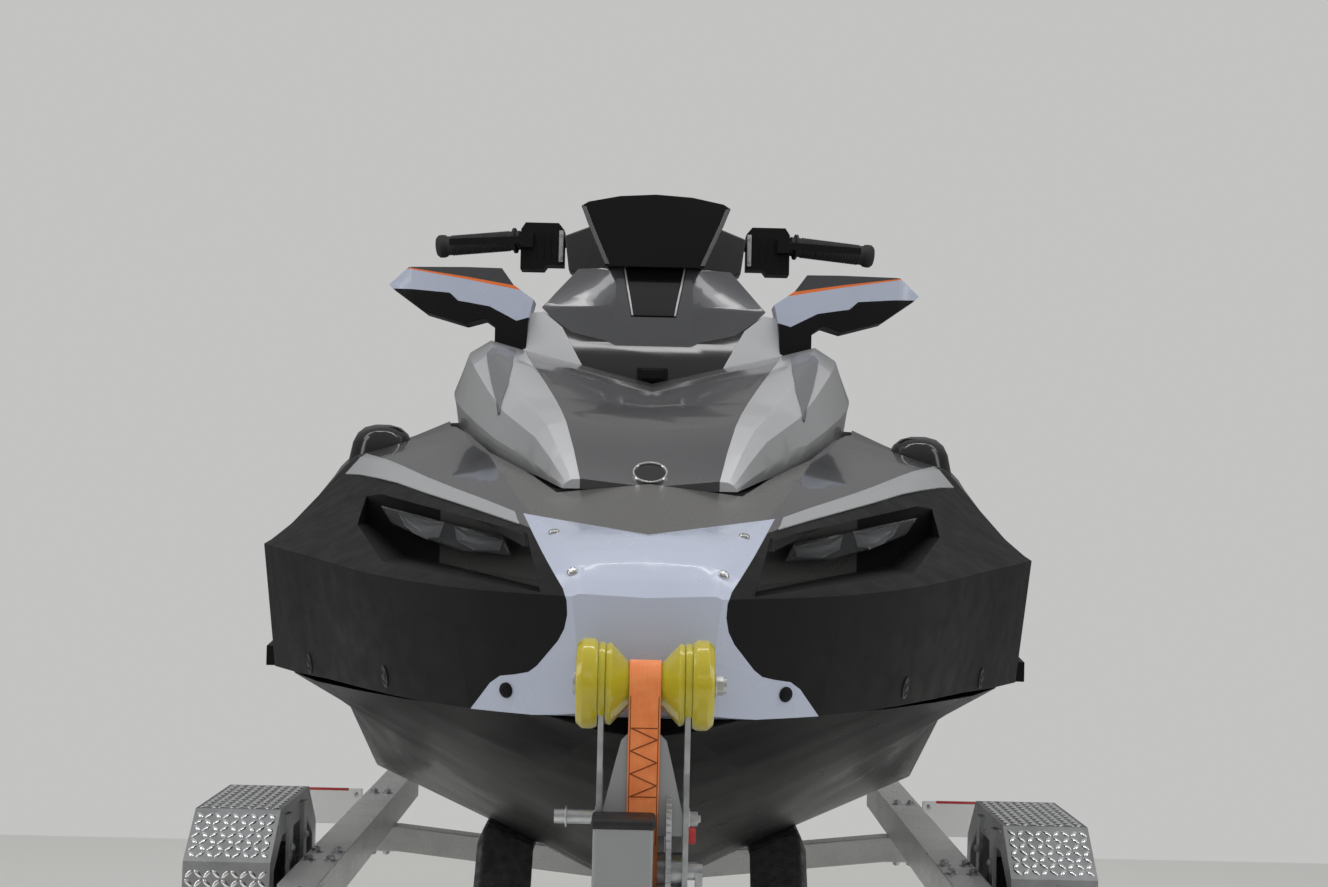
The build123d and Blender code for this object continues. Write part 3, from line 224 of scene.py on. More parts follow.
def new_finish(name, colour, roughness, **levels):
    """A finish whose even values are set on the shader itself."""
    finish = bpy.data.materials.new(name)
    finish.use_nodes = True
    shader = finish.node_tree.nodes["Principled BSDF"]
    shader.inputs["Base Color"].default_value = (*colour, 1)
    shader.inputs["Roughness"].default_value = roughness
    for label, level in levels.items():
        shader.inputs[label.replace("_", " ")].default_value = level
    return finish


def texture(finish, kind, scale, stretch=(1, 1, 1), turn=(0, 0, 0), **settings):
    """A texture on the piece's own coordinates, by its patterns per metre."""
    tree = finish.node_tree
    where = tree.nodes.new("ShaderNodeTexCoord")
    mapping = tree.nodes.new("ShaderNodeMapping")
    mapping.inputs["Rotation"].default_value = [math.radians(angle) for angle in turn]
    mapping.inputs["Scale"].default_value = stretch
    node = tree.nodes.new("ShaderNodeTex" + kind)
    tree.links.new(where.outputs["Object"], mapping.inputs["Vector"])
    tree.links.new(mapping.outputs["Vector"], node.inputs["Vector"])
    node.inputs["Scale"].default_value = scale
    for label, value in settings.items():
        if hasattr(node, label):
            setattr(node, label, value)
        else:
            node.inputs[label.replace("_", " ")].default_value = value
    return node.outputs["Distance" if kind == "Voronoi" else "Fac"]


def vary(finish, label, pattern, low, high, start=0.3, stop=0.7):
    """Drives one value of the shader by a pattern, from low to high."""
    tree = finish.node_tree
    span = tree.nodes.new("ShaderNodeMapRange")
    for socket, value in (("From Min", start), ("From Max", stop),
                          ("To Min", low), ("To Max", high)):
        span.inputs[socket].default_value = value
    tree.links.new(pattern, span.inputs["Value"])
    tree.links.new(span.outputs["Result"],
                   tree.nodes["Principled BSDF"].inputs[label])


def tint(finish, pattern, stops, steps=False):
    """Colours the finish by a pattern, with (place, colour) stops."""
    tree = finish.node_tree
    ramp = tree.nodes.new("ShaderNodeValToRGB")
    ramp.color_ramp.interpolation = "CONSTANT" if steps else "LINEAR"
    points = ramp.color_ramp.elements
    while len(points) < len(stops):
        points.new(0.5)
    for point, (position, colour) in zip(points, stops):
        point.position = position
        point.color = (*colour, 1)
    tree.links.new(pattern, ramp.inputs["Fac"])
    tree.links.new(ramp.outputs["Color"],
                   tree.nodes["Principled BSDF"].inputs["Base Color"])


def emboss(finish, pattern, depth, strength=1.0):
    """Raises the surface by a pattern, by a depth in metres, over what is raised already."""
    tree = finish.node_tree
    bump = tree.nodes.new("ShaderNodeBump")
    bump.inputs["Strength"].default_value = strength
    bump.inputs["Distance"].default_value = depth
    tree.links.new(pattern, bump.inputs["Height"])
    normal = tree.nodes["Principled BSDF"].inputs["Normal"]
    if normal.links:
        tree.links.new(normal.links[0].from_socket, bump.inputs["Normal"])
    tree.links.new(bump.outputs["Normal"], normal)


def grained(finish, per_metre, detail, depth, strength):
    """Gives the surface a random grain, by its depth in metres."""
    emboss(finish, texture(finish, "Noise", per_metre, Detail=detail), depth, strength)


def cylinder(radius, start, end, sides=24):
    """A round bar between two points, of the sides given."""
    run = end - start
    bpy.ops.object.select_all(action="DESELECT")
    bpy.ops.mesh.primitive_cylinder_add(
        vertices=sides, radius=radius, depth=run.length, location=(start + end) / 2,
        rotation=run.to_track_quat("Z", "Y").to_euler())
    bpy.ops.object.transform_apply(location=True, rotation=True, scale=True)
    return bpy.context.object


def slab(low, high):
    """A box between two corners."""
    bpy.ops.object.select_all(action="DESELECT")
    bpy.ops.mesh.primitive_cube_add(size=1, location=(low + high) / 2,
                                    scale=[abs(a) for a in (high - low)])
    bpy.ops.object.transform_apply(location=True, rotation=True, scale=True)
    return bpy.context.object


def joined(*pieces):
    """These pieces as one."""
    pick(*pieces)
    bpy.ops.object.join()
    return bpy.context.object


def copied(master, places):
    """Copies of a small piece made about the origin, one by each matrix, joined."""
    copies = []
    for matrix in places:
        copy = bpy.data.objects.new("copy", master.data.copy())
        copy.data.transform(matrix)
        bpy.context.scene.collection.objects.link(copy)
        copies.append(copy)
    bpy.data.objects.remove(master)
    return joined(*copies)


def set_out(master, mounts):
    """Copies of a small piece, one standing on each (point, outward), joined. A mount may
    end with a turn about its outward direction, in degrees."""
    places = []
    for where, outward, *turn in mounts:
        spin = Matrix.Rotation(math.radians(turn[0] if turn else 0), 4, "Z")
        facing = Vector(outward).to_track_quat("Z", "Y").to_matrix().to_4x4()
        places.append(Matrix.Translation(where) @ facing @ spin)
    return copied(master, places)


def hex_bolt(across, thick, washer):
    """A hexagon head on its washer, standing on the origin."""
    head = cylinder(across / 2, Vector((0, 0, 0.001)), Vector((0, 0, thick)), 6)
    soften(head, thick * 0.12, 2)
    ring = cylinder(washer / 2, Vector((0, 0, 0)), Vector((0, 0, 0.0018)), 20)
    soften(ring, 0.0005, 1)
    tip = cylinder(across * 0.26, Vector((0, 0, thick)), Vector((0, 0, thick * 1.25)), 12)
    soften(tip, 0.0006, 1)
    return joined(head, ring, tip)


bare_aluminium = new_finish("bare_aluminium", (0.70, 0.70, 0.69), 0.40, Metallic=0.72)
drawn = texture(bare_aluminium, "Noise", 22, stretch=(30, 0.7, 30), Detail=5.0)
vary(bare_aluminium, "Roughness", drawn, 0.24, 0.50)
stain = texture(bare_aluminium, "Noise", 5, Detail=6.0, Roughness=0.65)
tint(bare_aluminium, stain, [(0.30, (0.56, 0.56, 0.55)), (0.52, (0.70, 0.70, 0.69)),
                             (0.75, (0.78, 0.78, 0.77))])
emboss(bare_aluminium, drawn, 0.0004, 0.35)

dress("trailer_rails", bare_aluminium, 0.004, 3)
dress("cross_members", bare_aluminium, 0.003, 3)
dress("tongue", bare_aluminium, 0.004, 3)

zinc = new_finish("zinc_plated", (0.60, 0.61, 0.62), 0.38, Metallic=1.0)
spangle = texture(zinc, "Voronoi", 90)
vary(zinc, "Roughness", spangle, 0.26, 0.50, 0.0, 0.8)
tint(zinc, texture(zinc, "Voronoi", 55), [(0.0, (0.50, 0.51, 0.53)), (0.7, (0.68, 0.69, 0.70))])
grained(zinc, 60, 4.0, 0.0003, 0.4)

RAIL_X = 630
RAIL_ROOT_X, RAIL_ROOT_S, RAIL_SPLAY = 70, -20, 0.335     # the run out from the tongue
ROOT_BOLT_S = (140, 215)
MEMBER_S, MEMBER_BOLT_X = (1560, 2960), (600, 630)
MEMBER_UNDER, MEMBER_BOLT_SHIFT = -135.5, 16
rail_mounts = []
for side in (-1, 1):
    for s, x in zip(MEMBER_S, MEMBER_BOLT_X):
        for shift in (-MEMBER_BOLT_SHIFT, MEMBER_BOLT_SHIFT):
            for h, up in ((0, 1), (MEMBER_UNDER, -1)):
                rail_mounts.append((place(side * (x + shift), s, h), (0, 0, up)))
    for s in ROOT_BOLT_S:
        x = RAIL_ROOT_X + (s - RAIL_ROOT_S) * RAIL_SPLAY
        rail_mounts.append((place(side * x, s, 0), (0, 0, 1)))
frame_bolts = set_out(hex_bolt(0.019, 0.009, 0.026), rail_mounts)
settle(frame_bolts, "frame_bolts", zinc)

end_plug = new_finish("end_plug", (0.02, 0.02, 0.021), 0.55)
grained(end_plug, 900, 3.0, 0.0002, 0.5)
PLUG_HALF, PLUG_S, PLUG_H = 35, (3498, 3504), (-73, -2)


def inset_faces(piece, outward, *steps):
    """Insets the faces of a piece that look one way, by (thickness, depth) steps."""
    pick(piece)
    bpy.ops.object.mode_set(mode="EDIT")
    shape = bmesh.from_edit_mesh(piece.data)
    for face in shape.faces:
        face.select = face.normal.dot(Vector(outward)) > 0.9
    bmesh.update_edit_mesh(piece.data)
    for thickness, depth in steps:
        bpy.ops.mesh.inset(thickness=thickness, depth=depth)
    bpy.ops.object.mode_set(mode="OBJECT")


plugs = []
for side in (-1, 1):
    plug = slab(place(side * RAIL_X - PLUG_HALF, PLUG_S[0], PLUG_H[0]),
                place(side * RAIL_X + PLUG_HALF, PLUG_S[1], PLUG_H[1]))
    inset_faces(plug, (0, 1, 0), (0.010, -0.003))
    soften(plug, 0.0012)
    plugs.append(plug)
settle(joined(*plugs), "rail_end_plugs", end_plug)


# Coupler: a pressed and zinc-plated socket for the tow ball, with its latch on top, held
# to the tongue by four bolts through its sides.
COUPLER_HALF, COUPLER_BOLT_S, COUPLER_BOLT_H = 40.5, (-960, -900), -110
dress("coupler", zinc, 0.006, 3)
coupler_mounts = [(place(side * COUPLER_HALF, s, COUPLER_BOLT_H), (side, 0, 0))
                  for side in (-1, 1) for s in COUPLER_BOLT_S]
coupler_bolts = set_out(hex_bolt(0.019, 0.010, 0.028), coupler_mounts)
settle(coupler_bolts, "coupler_bolts", zinc)
trigger = slab(place(-4, -1050, -28), place(4, -968, -20))
soften(trigger, 0.002)
settle(trigger, "coupler_latch_trigger", zinc)


# Swing jack: two zinc-plated tubes, one inside the other, on a pivot beside the tongue. A
# crank with a plastic knob on top turns the screw; a pressed plate is its foot.
JACK_X, JACK_S, CRANK_REACH = 88, -600, 118
KNOB_H = (218, 266)
COLLARS = ((0.029, 176, 191), (0.0285, -440, -424))       # radius, from and to a height
dress("jack", zinc, 0.002, 2)
knob_plastic = new_finish("knob_plastic", (0.018, 0.018, 0.018), 0.4)
grained(knob_plastic, 700, 3.0, 0.0002, 0.5)
knob = cylinder(0.014, *[place(JACK_X + CRANK_REACH, JACK_S, h) for h in KNOB_H], 28)
inset_faces(knob, (0, 0, 1), (0.004, 0.003))
soften(knob, 0.004, 4)
settle(knob, "jack_crank_knob", knob_plastic, "jack")
collars = []
for radius, low, high in COLLARS:
    collar = cylinder(radius, place(JACK_X, JACK_S, low), place(JACK_X, JACK_S, high), 32)
    soften(collar, 0.002)
    collars.append(collar)
settle(joined(*collars), "jack_collars", zinc, "jack")


# Axle: a painted and greased square beam with a stub at each end, clamped under the rails by
# U-bolts with plates. The hubs turn on the stubs behind the wheels.
AXLE_S, HUB_H = 1980, -235
CLAMP_X, CLAMP_SHIFT = (608, 652), 52
axle_paint = new_finish("axle_zinc", (0.42, 0.43, 0.44), 0.46, Metallic=1.0)
tint(axle_paint, texture(axle_paint, "Noise", 14, Detail=6.0),
     [(0.3, (0.30, 0.30, 0.31)), (0.7, (0.50, 0.51, 0.52))])
grained(axle_paint, 180, 4.0, 0.0004, 0.4)
dress("axle", axle_paint, 0.003, 2)
axle_mounts = [(place(side * x, s, 0), (0, 0, 1)) for side in (-1, 1) for x in CLAMP_X
               for s in (AXLE_S - CLAMP_SHIFT, AXLE_S + CLAMP_SHIFT)]
axle_nuts = set_out(hex_bolt(0.019, 0.010, 0.028), axle_mounts)
settle(axle_nuts, "axle_clamp_bolts", zinc)


# Rims: pressed steel discs welded into the rim well, painted silver grey. Each has a pressed
# bead, five wheel nuts, a valve and a pressed hub cap over the bearing.
WHEEL_X = 769
DISC_OUT = 0.0187
NUT_RING, FIRST_NUT = 0.056, 18           # how far out the nuts are, and the first one's angle
VALVE_RING, VALVE_ANGLE = 0.136, 200
RIM_GREY = (0.50, 0.51, 0.52)
rim_paint = new_finish("rim_paint", RIM_GREY, 0.34, Metallic=0.55, Coat_Weight=0.35,
                       Coat_Roughness=0.2)
grained(rim_paint, 420, 3.0, 0.0002, 0.3)


def clouded(finish, per_metre, detail, low, high):
    """Lets the roughness wander in soft clouds, from low to high."""
    vary(finish, "Roughness", texture(finish, "Noise", per_metre, Detail=detail), low, high)


clouded(rim_paint, 12, 5.0, 0.26, 0.48)
cap_zinc = new_finish("hub_cap_zinc", (0.66, 0.67, 0.68), 0.22, Metallic=1.0)
grained(cap_zinc, 70, 3.0, 0.0003, 0.3)


def turned(profile, centre, axis, steps):
    """Turns a profile of (radius, along) points about an axis through the centre."""
    bpy.ops.object.select_all(action="DESELECT")
    bpy.ops.mesh.primitive_circle_add(vertices=steps, radius=1.0, location=(0, 0, 0))
    ring = bpy.context.object
    bpy.ops.object.mode_set(mode="EDIT")
    shape = bmesh.from_edit_mesh(ring.data)
    loop = list(shape.verts)
    for vert in loop:
        spoke = vert.co.normalized()
        vert.co = spoke * profile[0][0] + Vector((0, 0, profile[0][1]))
    edges = list(shape.edges)
    for radius, along in profile[1:]:
        grown = bmesh.ops.extrude_edge_only(shape, edges=edges)["geom"]
        verts = [item for item in grown if isinstance(item, bmesh.types.BMVert)]
        edges = [item for item in grown if isinstance(item, bmesh.types.BMEdge)]
        for vert in verts:
            flat = Vector((vert.co.x, vert.co.y, 0)).normalized()
            vert.co = flat * radius + Vector((0, 0, along))
    bmesh.update_edit_mesh(ring.data)
    bpy.ops.mesh.select_all(action="SELECT")
    bpy.ops.mesh.remove_doubles(threshold=0.00005)
    bpy.ops.mesh.normals_make_consistent(inside=False)
    bpy.ops.object.mode_set(mode="OBJECT")
    turn = Vector(axis).to_track_quat("Z", "Y").to_matrix().to_4x4()
    ring.data.transform(Matrix.Translation(centre) @ turn)
    return ring


for side, word in ((1, "left"), (-1, "right")):
    body = "wheel_" + word
    hub = place(side * WHEEL_X, AXLE_S, HUB_H)
    outward = Vector((side, 0, 0))
    dress("rim_" + word, rim_paint, 0.0015, 2)
    nuts = []
    for number in range(5):
        turn = Matrix.Rotation(math.radians(72 * number + FIRST_NUT), 3, "X")
        spoke = turn @ Vector((0, 0, NUT_RING))
        nuts.append((hub + spoke + outward * DISC_OUT, outward))
    wheel_nuts = set_out(hex_bolt(0.019, 0.015, 0.027), nuts)
    settle(wheel_nuts, "wheel_nuts_" + word, cap_zinc, body)
    bead = turned([(0.088, DISC_OUT - 0.001), (0.092, DISC_OUT + 0.0035),
                   (0.100, DISC_OUT + 0.0045), (0.108, DISC_OUT + 0.0035),
                   (0.112, DISC_OUT - 0.001)], hub, outward, 64)
    soften(bead, 0, crease=60)
    settle(bead, "rim_bead_" + word, rim_paint, body)
    hub_cap = turned([(0.0345, 0.031), (0.0345, 0.034), (0.0300, 0.036), (0.0285, 0.050),
                      (0.0250, 0.055), (0.0160, 0.058), (0.0001, 0.0585)], hub, outward, 48)
    soften(hub_cap, 0, crease=50)
    settle(hub_cap, "hub_cap_" + word, cap_zinc, body)
    turn = Matrix.Rotation(math.radians(VALVE_ANGLE), 3, "X")
    valve_at = turn @ Vector((0, 0, VALVE_RING))
    valve = turned([(0.0055, -0.002), (0.0055, 0.010), (0.0040, 0.012), (0.0040, 0.024),
                    (0.0048, 0.025), (0.0048, 0.031), (0.0001, 0.032)],
                   hub + valve_at + outward * 0.021, outward, 20)
    soften(valve, 0, crease=50)
    settle(valve, "rim_valve_" + word, end_plug, body)


# Tyres: moulded rubber with ribbed side walls. The tread is rows of blocks with grooves
# between them over a smooth carcass.
rubber = new_finish("tyre_rubber", (0.016, 0.016, 0.0165), 0.78)
clouded(rubber, 30, 6.0, 0.62, 0.90)
tint(rubber, texture(rubber, "Noise", 9, Detail=7.0),
     [(0.35, (0.013, 0.013, 0.0135)), (0.75, (0.026, 0.025, 0.023))])
grained(rubber, 900, 3.0, 0.0002, 0.4)
CARCASS = [(168, -58), (176, -63), (190, -67), (208, -70), (209.5, -69.2), (211, -70),
           (226, -68.4), (240, -63.6), (248, -59), (254, -50), (257, -38), (258, -19), (258, 0),
           (258, 19), (257, 38), (254, 50), (248, 59), (240, 63.6), (226, 68.4), (211, 70),
           (209.5, 69.2), (208, 70), (190, 67), (176, 63), (168, 58)]
TREAD_ROWS = [(-46, 256.4), (-22, 259.8), (0, 259.8), (22, 259.8), (46, 256.4)]
BLOCKS = 60
BLOCK_HALF = Vector((0.0083, 0.0104, 0.0035))
BLOCK_SLANT = 0.35                        # degrees for each millimetre out from the middle

for side, word in ((1, "left"), (-1, "right")):
    hub = place(side * WHEEL_X, AXLE_S, HUB_H)
    outward = Vector((side, 0, 0))
    carcass = turned([(r / 1000, a / 1000) for r, a in CARCASS], hub, outward, 96)
    soften(carcass, 0, crease=32)
    places = []
    for number in range(BLOCKS):
        for row, (across, radius) in enumerate(TREAD_ROWS):
            angle = math.radians(360 / BLOCKS * (number + 0.5 * (row % 2)))
            places.append(Matrix.Translation(hub) @ Matrix.Rotation(angle, 4, "X")
                          @ Matrix.Translation((across / 1000, 0, radius / 1000))
                          @ Matrix.Rotation(math.radians(across * BLOCK_SLANT), 4, "Z"))
    block = slab(-BLOCK_HALF, BLOCK_HALF)
    soften(block, 0.0009, 1)
    tyre = joined(carcass, copied(block, places))
    settle(tyre, "tyre_{}_piece".format(word), rubber, "wheel_" + word)
    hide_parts("tyre_" + word)


# Fenders: pressed aluminium tread plate, bent over each wheel, on two stays. The raised
# lozenges stand in rows that cross each other, and the skirt inside hangs from the plate.
FENDER_LINE = [(-304, -150), (-290, 30), (-180, 112), (180, 112), (290, 30), (304, -150)]
PLATE = 2.0
GRAIN_X0, GRAIN_STEP, GRAIN_COLUMNS = 702, 17, 9
STAY_X, STAY_SHIFT, STAY_BOLT_H = 680, 90, (-24, 30)
tread_plate = new_finish("tread_plate", (0.50, 0.51, 0.52), 0.30, Metallic=1.0)
clouded(tread_plate, 9, 7.0, 0.22, 0.40)
tint(tread_plate, texture(tread_plate, "Noise", 6, Detail=8.0, Roughness=0.7),
     [(0.34, (0.38, 0.385, 0.39)), (0.6, (0.55, 0.56, 0.57))])
# The lozenges get a paler, smoother metal than the plate around them: a painted highlight for the
# glints that the raised grains catch.
lozenge_highlight_metal = new_finish("lozenge_highlight_metal", (0.92, 0.925, 0.93), 0.16, Metallic=1.0)
clouded(lozenge_highlight_metal, 9, 7.0, 0.10, 0.26)
grained(lozenge_highlight_metal, 240, 4.0, 0.0002, 0.3)
grained(tread_plate, 240, 4.0, 0.0002, 0.4)
dress("fenders", tread_plate, 0.0014, 2)


def lozenge(length, width, height):
    """A raised grain of the tread plate, long on Y, lying on the origin."""
    ball = slab(Vector((-width / 2, -length / 2, -height)),
                Vector((width / 2, length / 2, height)))
    pick(ball)
    bpy.ops.object.mode_set(mode="EDIT")
    bpy.ops.mesh.select_all(action="SELECT")
    bpy.ops.mesh.subdivide(number_cuts=3)
    shape = bmesh.from_edit_mesh(ball.data)
    for vert in shape.verts:
        along = min(abs(vert.co.y) / (length / 2), 1)
        vert.co.x *= math.sqrt(max(0.0, 1 - along ** 2.2))
        arch = math.sqrt(max(0.0, 1 - along ** 2))
        across = min(abs(vert.co.x) / (width / 2), 1)
        vert.co.z = max(vert.co.z, 0) * arch * (1 - 0.6 * across ** 2) - 0.0002
    bmesh.update_edit_mesh(ball.data)
    bpy.ops.mesh.remove_doubles(threshold=0.00005)
    bpy.ops.object.mode_set(mode="OBJECT")
    soften(ball, 0, crease=60)
    return ball


for side, word in ((1, "left"), (-1, "right")):
    mounts = []
    count = 0
    for (s0, h0), (s1, h1) in zip(FENDER_LINE, FENDER_LINE[1:]):
        run = math.hypot(s1 - s0, h1 - h0)
        along_run = Vector((0, s1 - s0, h1 - h0)).normalized()
        out = Vector((0, -along_run.z, along_run.y))
        steps = int((run - 12) // GRAIN_STEP)
        for step in range(steps):
            reach = (run - (steps - 1) * GRAIN_STEP) / 2 + step * GRAIN_STEP
            s = AXLE_S + s0 + (s1 - s0) * reach / run
            h = h0 + (h1 - h0) * reach / run
            for column in range(GRAIN_COLUMNS):
                x = GRAIN_X0 + column * GRAIN_STEP
                slant = 45 if (column + count) % 2 else -45
                point = place(side * x, s + out.y * PLATE, h + out.z * PLATE)
                mounts.append((point, out, slant))
            count += 1
    grains = set_out(lozenge(0.0205, 0.0074, 0.0024), mounts)
    settle(grains, "fender_lozenges_" + word, lozenge_highlight_metal)
stay_mounts = [(place(side * STAY_X, s, h), (-side, 0, 0)) for side in (-1, 1)
               for s in (AXLE_S - STAY_SHIFT, AXLE_S + STAY_SHIFT) for h in STAY_BOLT_H]
stay_bolts = set_out(hex_bolt(0.013, 0.006, 0.018), stay_mounts)
settle(stay_bolts, "fender_stay_bolts", zinc)


# Light boards and tail lamps: a pale plate outside each rail carries a lamp with a red and
# an amber lens over a black base, held by four screws. The board's top edge is red.
board_paint = new_finish("board_paint", (0.66, 0.67, 0.66), 0.42)
clouded(board_paint, 25, 5.0, 0.36, 0.58)
grained(board_paint, 350, 3.0, 0.0001, 0.5)
dress("light_boards", board_paint, 0.0018, 2)
red_lens = new_finish("red_lens", (0.42, 0.012, 0.010), 0.12, Coat_Weight=1.0, IOR=1.5)
prisms = texture(red_lens, "Wave", 90, bands_direction="X", wave_profile="SIN")
emboss(red_lens, prisms, 0.0008, 0.5)
dress("tail_lights", red_lens, 0.004, 3)
amber_lens = new_finish("amber_lens", (0.55, 0.14, 0.01), 0.12, Coat_Weight=1.0, IOR=1.5)
emboss(amber_lens, texture(amber_lens, "Wave", 90, bands_direction="X"), 0.0008, 0.5)
clear_lens = new_finish("clear_lens", (0.72, 0.72, 0.70), 0.10, Coat_Weight=1.0)
emboss(clear_lens, texture(clear_lens, "Wave", 90, bands_direction="X"), 0.0008, 0.5)
LAMP_PARTS = [
    # name, finish, slot, rounding, and two corners of the left one
    ("indicator_lenses", amber_lens, "tail_lens", 0.003, (771, 2908, -57), (805, 2942.6, 7)),
    ("plate_lamp_windows", clear_lens, "tail_lens", 0.001, (700, 2908, -57), (734, 2942.6, -40)),
    ("tail_lamp_bases", end_plug, "trim_black", 0.003, (690, 2906, -60.5), (808, 2916, 10.5)),
    ("board_red_edges", red_lens, "trim_black", 0.0008, (700, 2899.4, 11.5), (818, 2906.6, 17.4)),
]
for name, finish, slot, edge, low, high in LAMP_PARTS:
    parts = [slab(place(side * low[0], *low[1:]), place(side * high[0], *high[1:]))
             for side in (-1, 1)]
    piece = joined(*parts)
    soften(piece, edge, 2)
    settle(piece, name, finish)
BOARD_FACE, BOARD_SCREW_X, BOARD_SCREW_H = 2899.9, (684, 814), (4, -54)
board_mounts = [(place(side * x, BOARD_FACE, h), (0, -1, 0))
                for side in (-1, 1) for x in BOARD_SCREW_X for h in BOARD_SCREW_H]


def button_screw(radius, height):
    """A domed screw head with a cross cut in it, standing on the origin."""
    head = turned([(radius, 0), (radius, height * 0.35), (radius * 0.82, height * 0.8),
                   (radius * 0.5, height), (0.0001, height)], (0, 0, 0), (0, 0, 1), 20)
    soften(head, 0, crease=50)
    cross = []
    for turn in (0, 90):
        bar = slab(Vector((-radius * 0.62, -radius * 0.11, height * 0.55)),
                   Vector((radius * 0.62, radius * 0.11, height * 1.02)))
        bar.data.transform(Matrix.Rotation(math.radians(turn), 4, "Z"))
        cross.append(bar)
    return joined(head, *cross)


board_screws = set_out(button_screw(0.006, 0.003), board_mounts)
settle(board_screws, "board_screws", zinc)


# Bunks and their brackets: painted timber boards wrapped in black outdoor carpet, stapled
# underneath, on galvanised angle brackets bolted to the cross members.
carpet = new_finish("bunk_carpet", (0.016, 0.016, 0.017), 0.95)
pile = texture(carpet, "Noise", 420, Detail=8.0, Roughness=0.75)
tint(carpet, pile, [(0.35, (0.008, 0.008, 0.009)), (0.68, (0.045, 0.045, 0.047))])
emboss(carpet, pile, 0.0018, 0.9)
emboss(carpet, texture(carpet, "Voronoi", 260), 0.0012, 0.5)
vary(carpet, "Sheen Weight", texture(carpet, "Noise", 60), 0.1, 0.5)
dress("bunks", carpet, 0.006, 3)
dress("bunk_brackets", zinc, 0.0016, 2)
BRACKET_X, BRACKET_SHIFT, BRACKET_BOLT_H = 240, 12, (48, 10)
bracket_mounts = [(place(side * BRACKET_X, s + shift, h), (side, 0, 0))
                  for side in (-1, 1) for s in MEMBER_S
                  for shift in (-BRACKET_SHIFT, BRACKET_SHIFT) for h in BRACKET_BOLT_H]
bracket_bolts = set_out(hex_bolt(0.013, 0.007, 0.020), bracket_mounts)
settle(bracket_bolts, "bunk_bracket_bolts", zinc)


# Winch post: a grey painted box tube welded to the tongue, closed at the top by a black
# plastic cap, with a weld bead at its foot.
POST_X, POST_S, POST_HALF, POST_TOP, POST_FOOT = -20, -112, 32.5, 374, -74
post_paint = new_finish("post_paint", (0.30, 0.305, 0.31), 0.42, Metallic=0.35)
clouded(post_paint, 18, 6.0, 0.34, 0.56)
grained(post_paint, 260, 4.0, 0.0002, 0.5)
dress("winch_post", post_paint, 0.005, 3)
cap_plastic = new_finish("post_cap", (0.014, 0.014, 0.014), 0.5)
clouded(cap_plastic, 40, 5.0, 0.42, 0.62)
grained(cap_plastic, 800, 3.0, 0.0002, 0.5)
rim_low = place(POST_X - POST_HALF - 2, POST_S - POST_HALF - 2, POST_TOP - 6)
rim_high = place(POST_X + POST_HALF + 2, POST_S + POST_HALF + 2, POST_TOP + 5)
post_cap = slab(rim_low, rim_high)
soften(post_cap, 0.004, 3)
settle(post_cap, "winch_post_cap", cap_plastic)
bead_parts = []
for side in (-1, 1):
    x = POST_X + side * POST_HALF
    bead_parts.append(cylinder(0.004, place(x, POST_S - POST_HALF, POST_FOOT),
                               place(x, POST_S + POST_HALF, POST_FOOT), 10))
    s = POST_S + side * POST_HALF
    bead_parts.append(cylinder(0.004, place(POST_X - POST_HALF, s, POST_FOOT),
                               place(POST_X + POST_HALF, s, POST_FOOT), 10))
weld_bead = joined(*bead_parts)
soften(weld_bead, 0, crease=60)
settle(weld_bead, "winch_post_weld", zinc)


# Winch: zinc-plated side plates, a drum between flanges, a toothed gear and a crank with a
# black grip. A pawl holds the gear. The plates are bolted to the arms.
DRUM_S, DRUM_H = -42, 310
GEAR_X, GEAR_ROOT, TEETH = 29, 0.0895, 60
CRANK_X, CRANK_DROP = 112, 120
dress("winch", zinc, 0.0014, 2)
tooth = slab(Vector((-0.0028, -0.0024, -0.001)), Vector((0.0028, 0.0024, 0.0032)))
pick(tooth)
bpy.ops.object.mode_set(mode="EDIT")
shape = bmesh.from_edit_mesh(tooth.data)
for vert in shape.verts:
    if vert.co.z > 0:
        vert.co.y *= 0.45
bmesh.update_edit_mesh(tooth.data)
bpy.ops.object.mode_set(mode="OBJECT")
soften(tooth, 0.0003, 1)
places = [Matrix.Translation(place(GEAR_X, DRUM_S, DRUM_H))
          @ Matrix.Rotation(math.radians(360 / TEETH * number), 4, "X")
          @ Matrix.Translation((0, 0, GEAR_ROOT)) for number in range(TEETH)]
settle(copied(tooth, places), "winch_gear_teeth", zinc)
handle = turned([(0.006, -0.040), (0.011, -0.039), (0.0135, -0.034), (0.0125, -0.012),
                 (0.0138, 0.012), (0.0125, 0.030), (0.0105, 0.038), (0.004, 0.040)],
                place(CRANK_X, DRUM_S, DRUM_H - CRANK_DROP), (1, 0, 0), 32)
soften(handle, 0, crease=50)
settle(handle, "winch_crank_grip", knob_plastic)


# Bow roller: clear yellow polyurethane, waisted for the bow, with an end cap each side,
# on a zinc-plated shaft between two steel arms. A thin lip closes the gap round each arm.
ROLLER_S, ROLLER_H = -50.3, 516
GAP_X0, GAP_X1 = 44.2, 51.8
poly = new_finish("roller_poly", (0.60, 0.50, 0.028), 0.14, Transmission_Weight=0.30,
                  Subsurface_Weight=0.4, Subsurface_Scale=0.03, Coat_Weight=0.5, IOR=1.45)
poly.node_tree.nodes["Principled BSDF"].inputs["Subsurface Radius"].default_value = (1, 0.8, 0.1)
tint(poly, texture(poly, "Noise", 14, Detail=5.0),
     [(0.3, (0.54, 0.44, 0.020)), (0.7, (0.66, 0.56, 0.040))])
grained(poly, 70, 5.0, 0.0004, 0.5)
clouded(poly, 40, 4.0, 0.10, 0.24)
dress("bow_roller", poly, 0.0014, 3)
lips = []
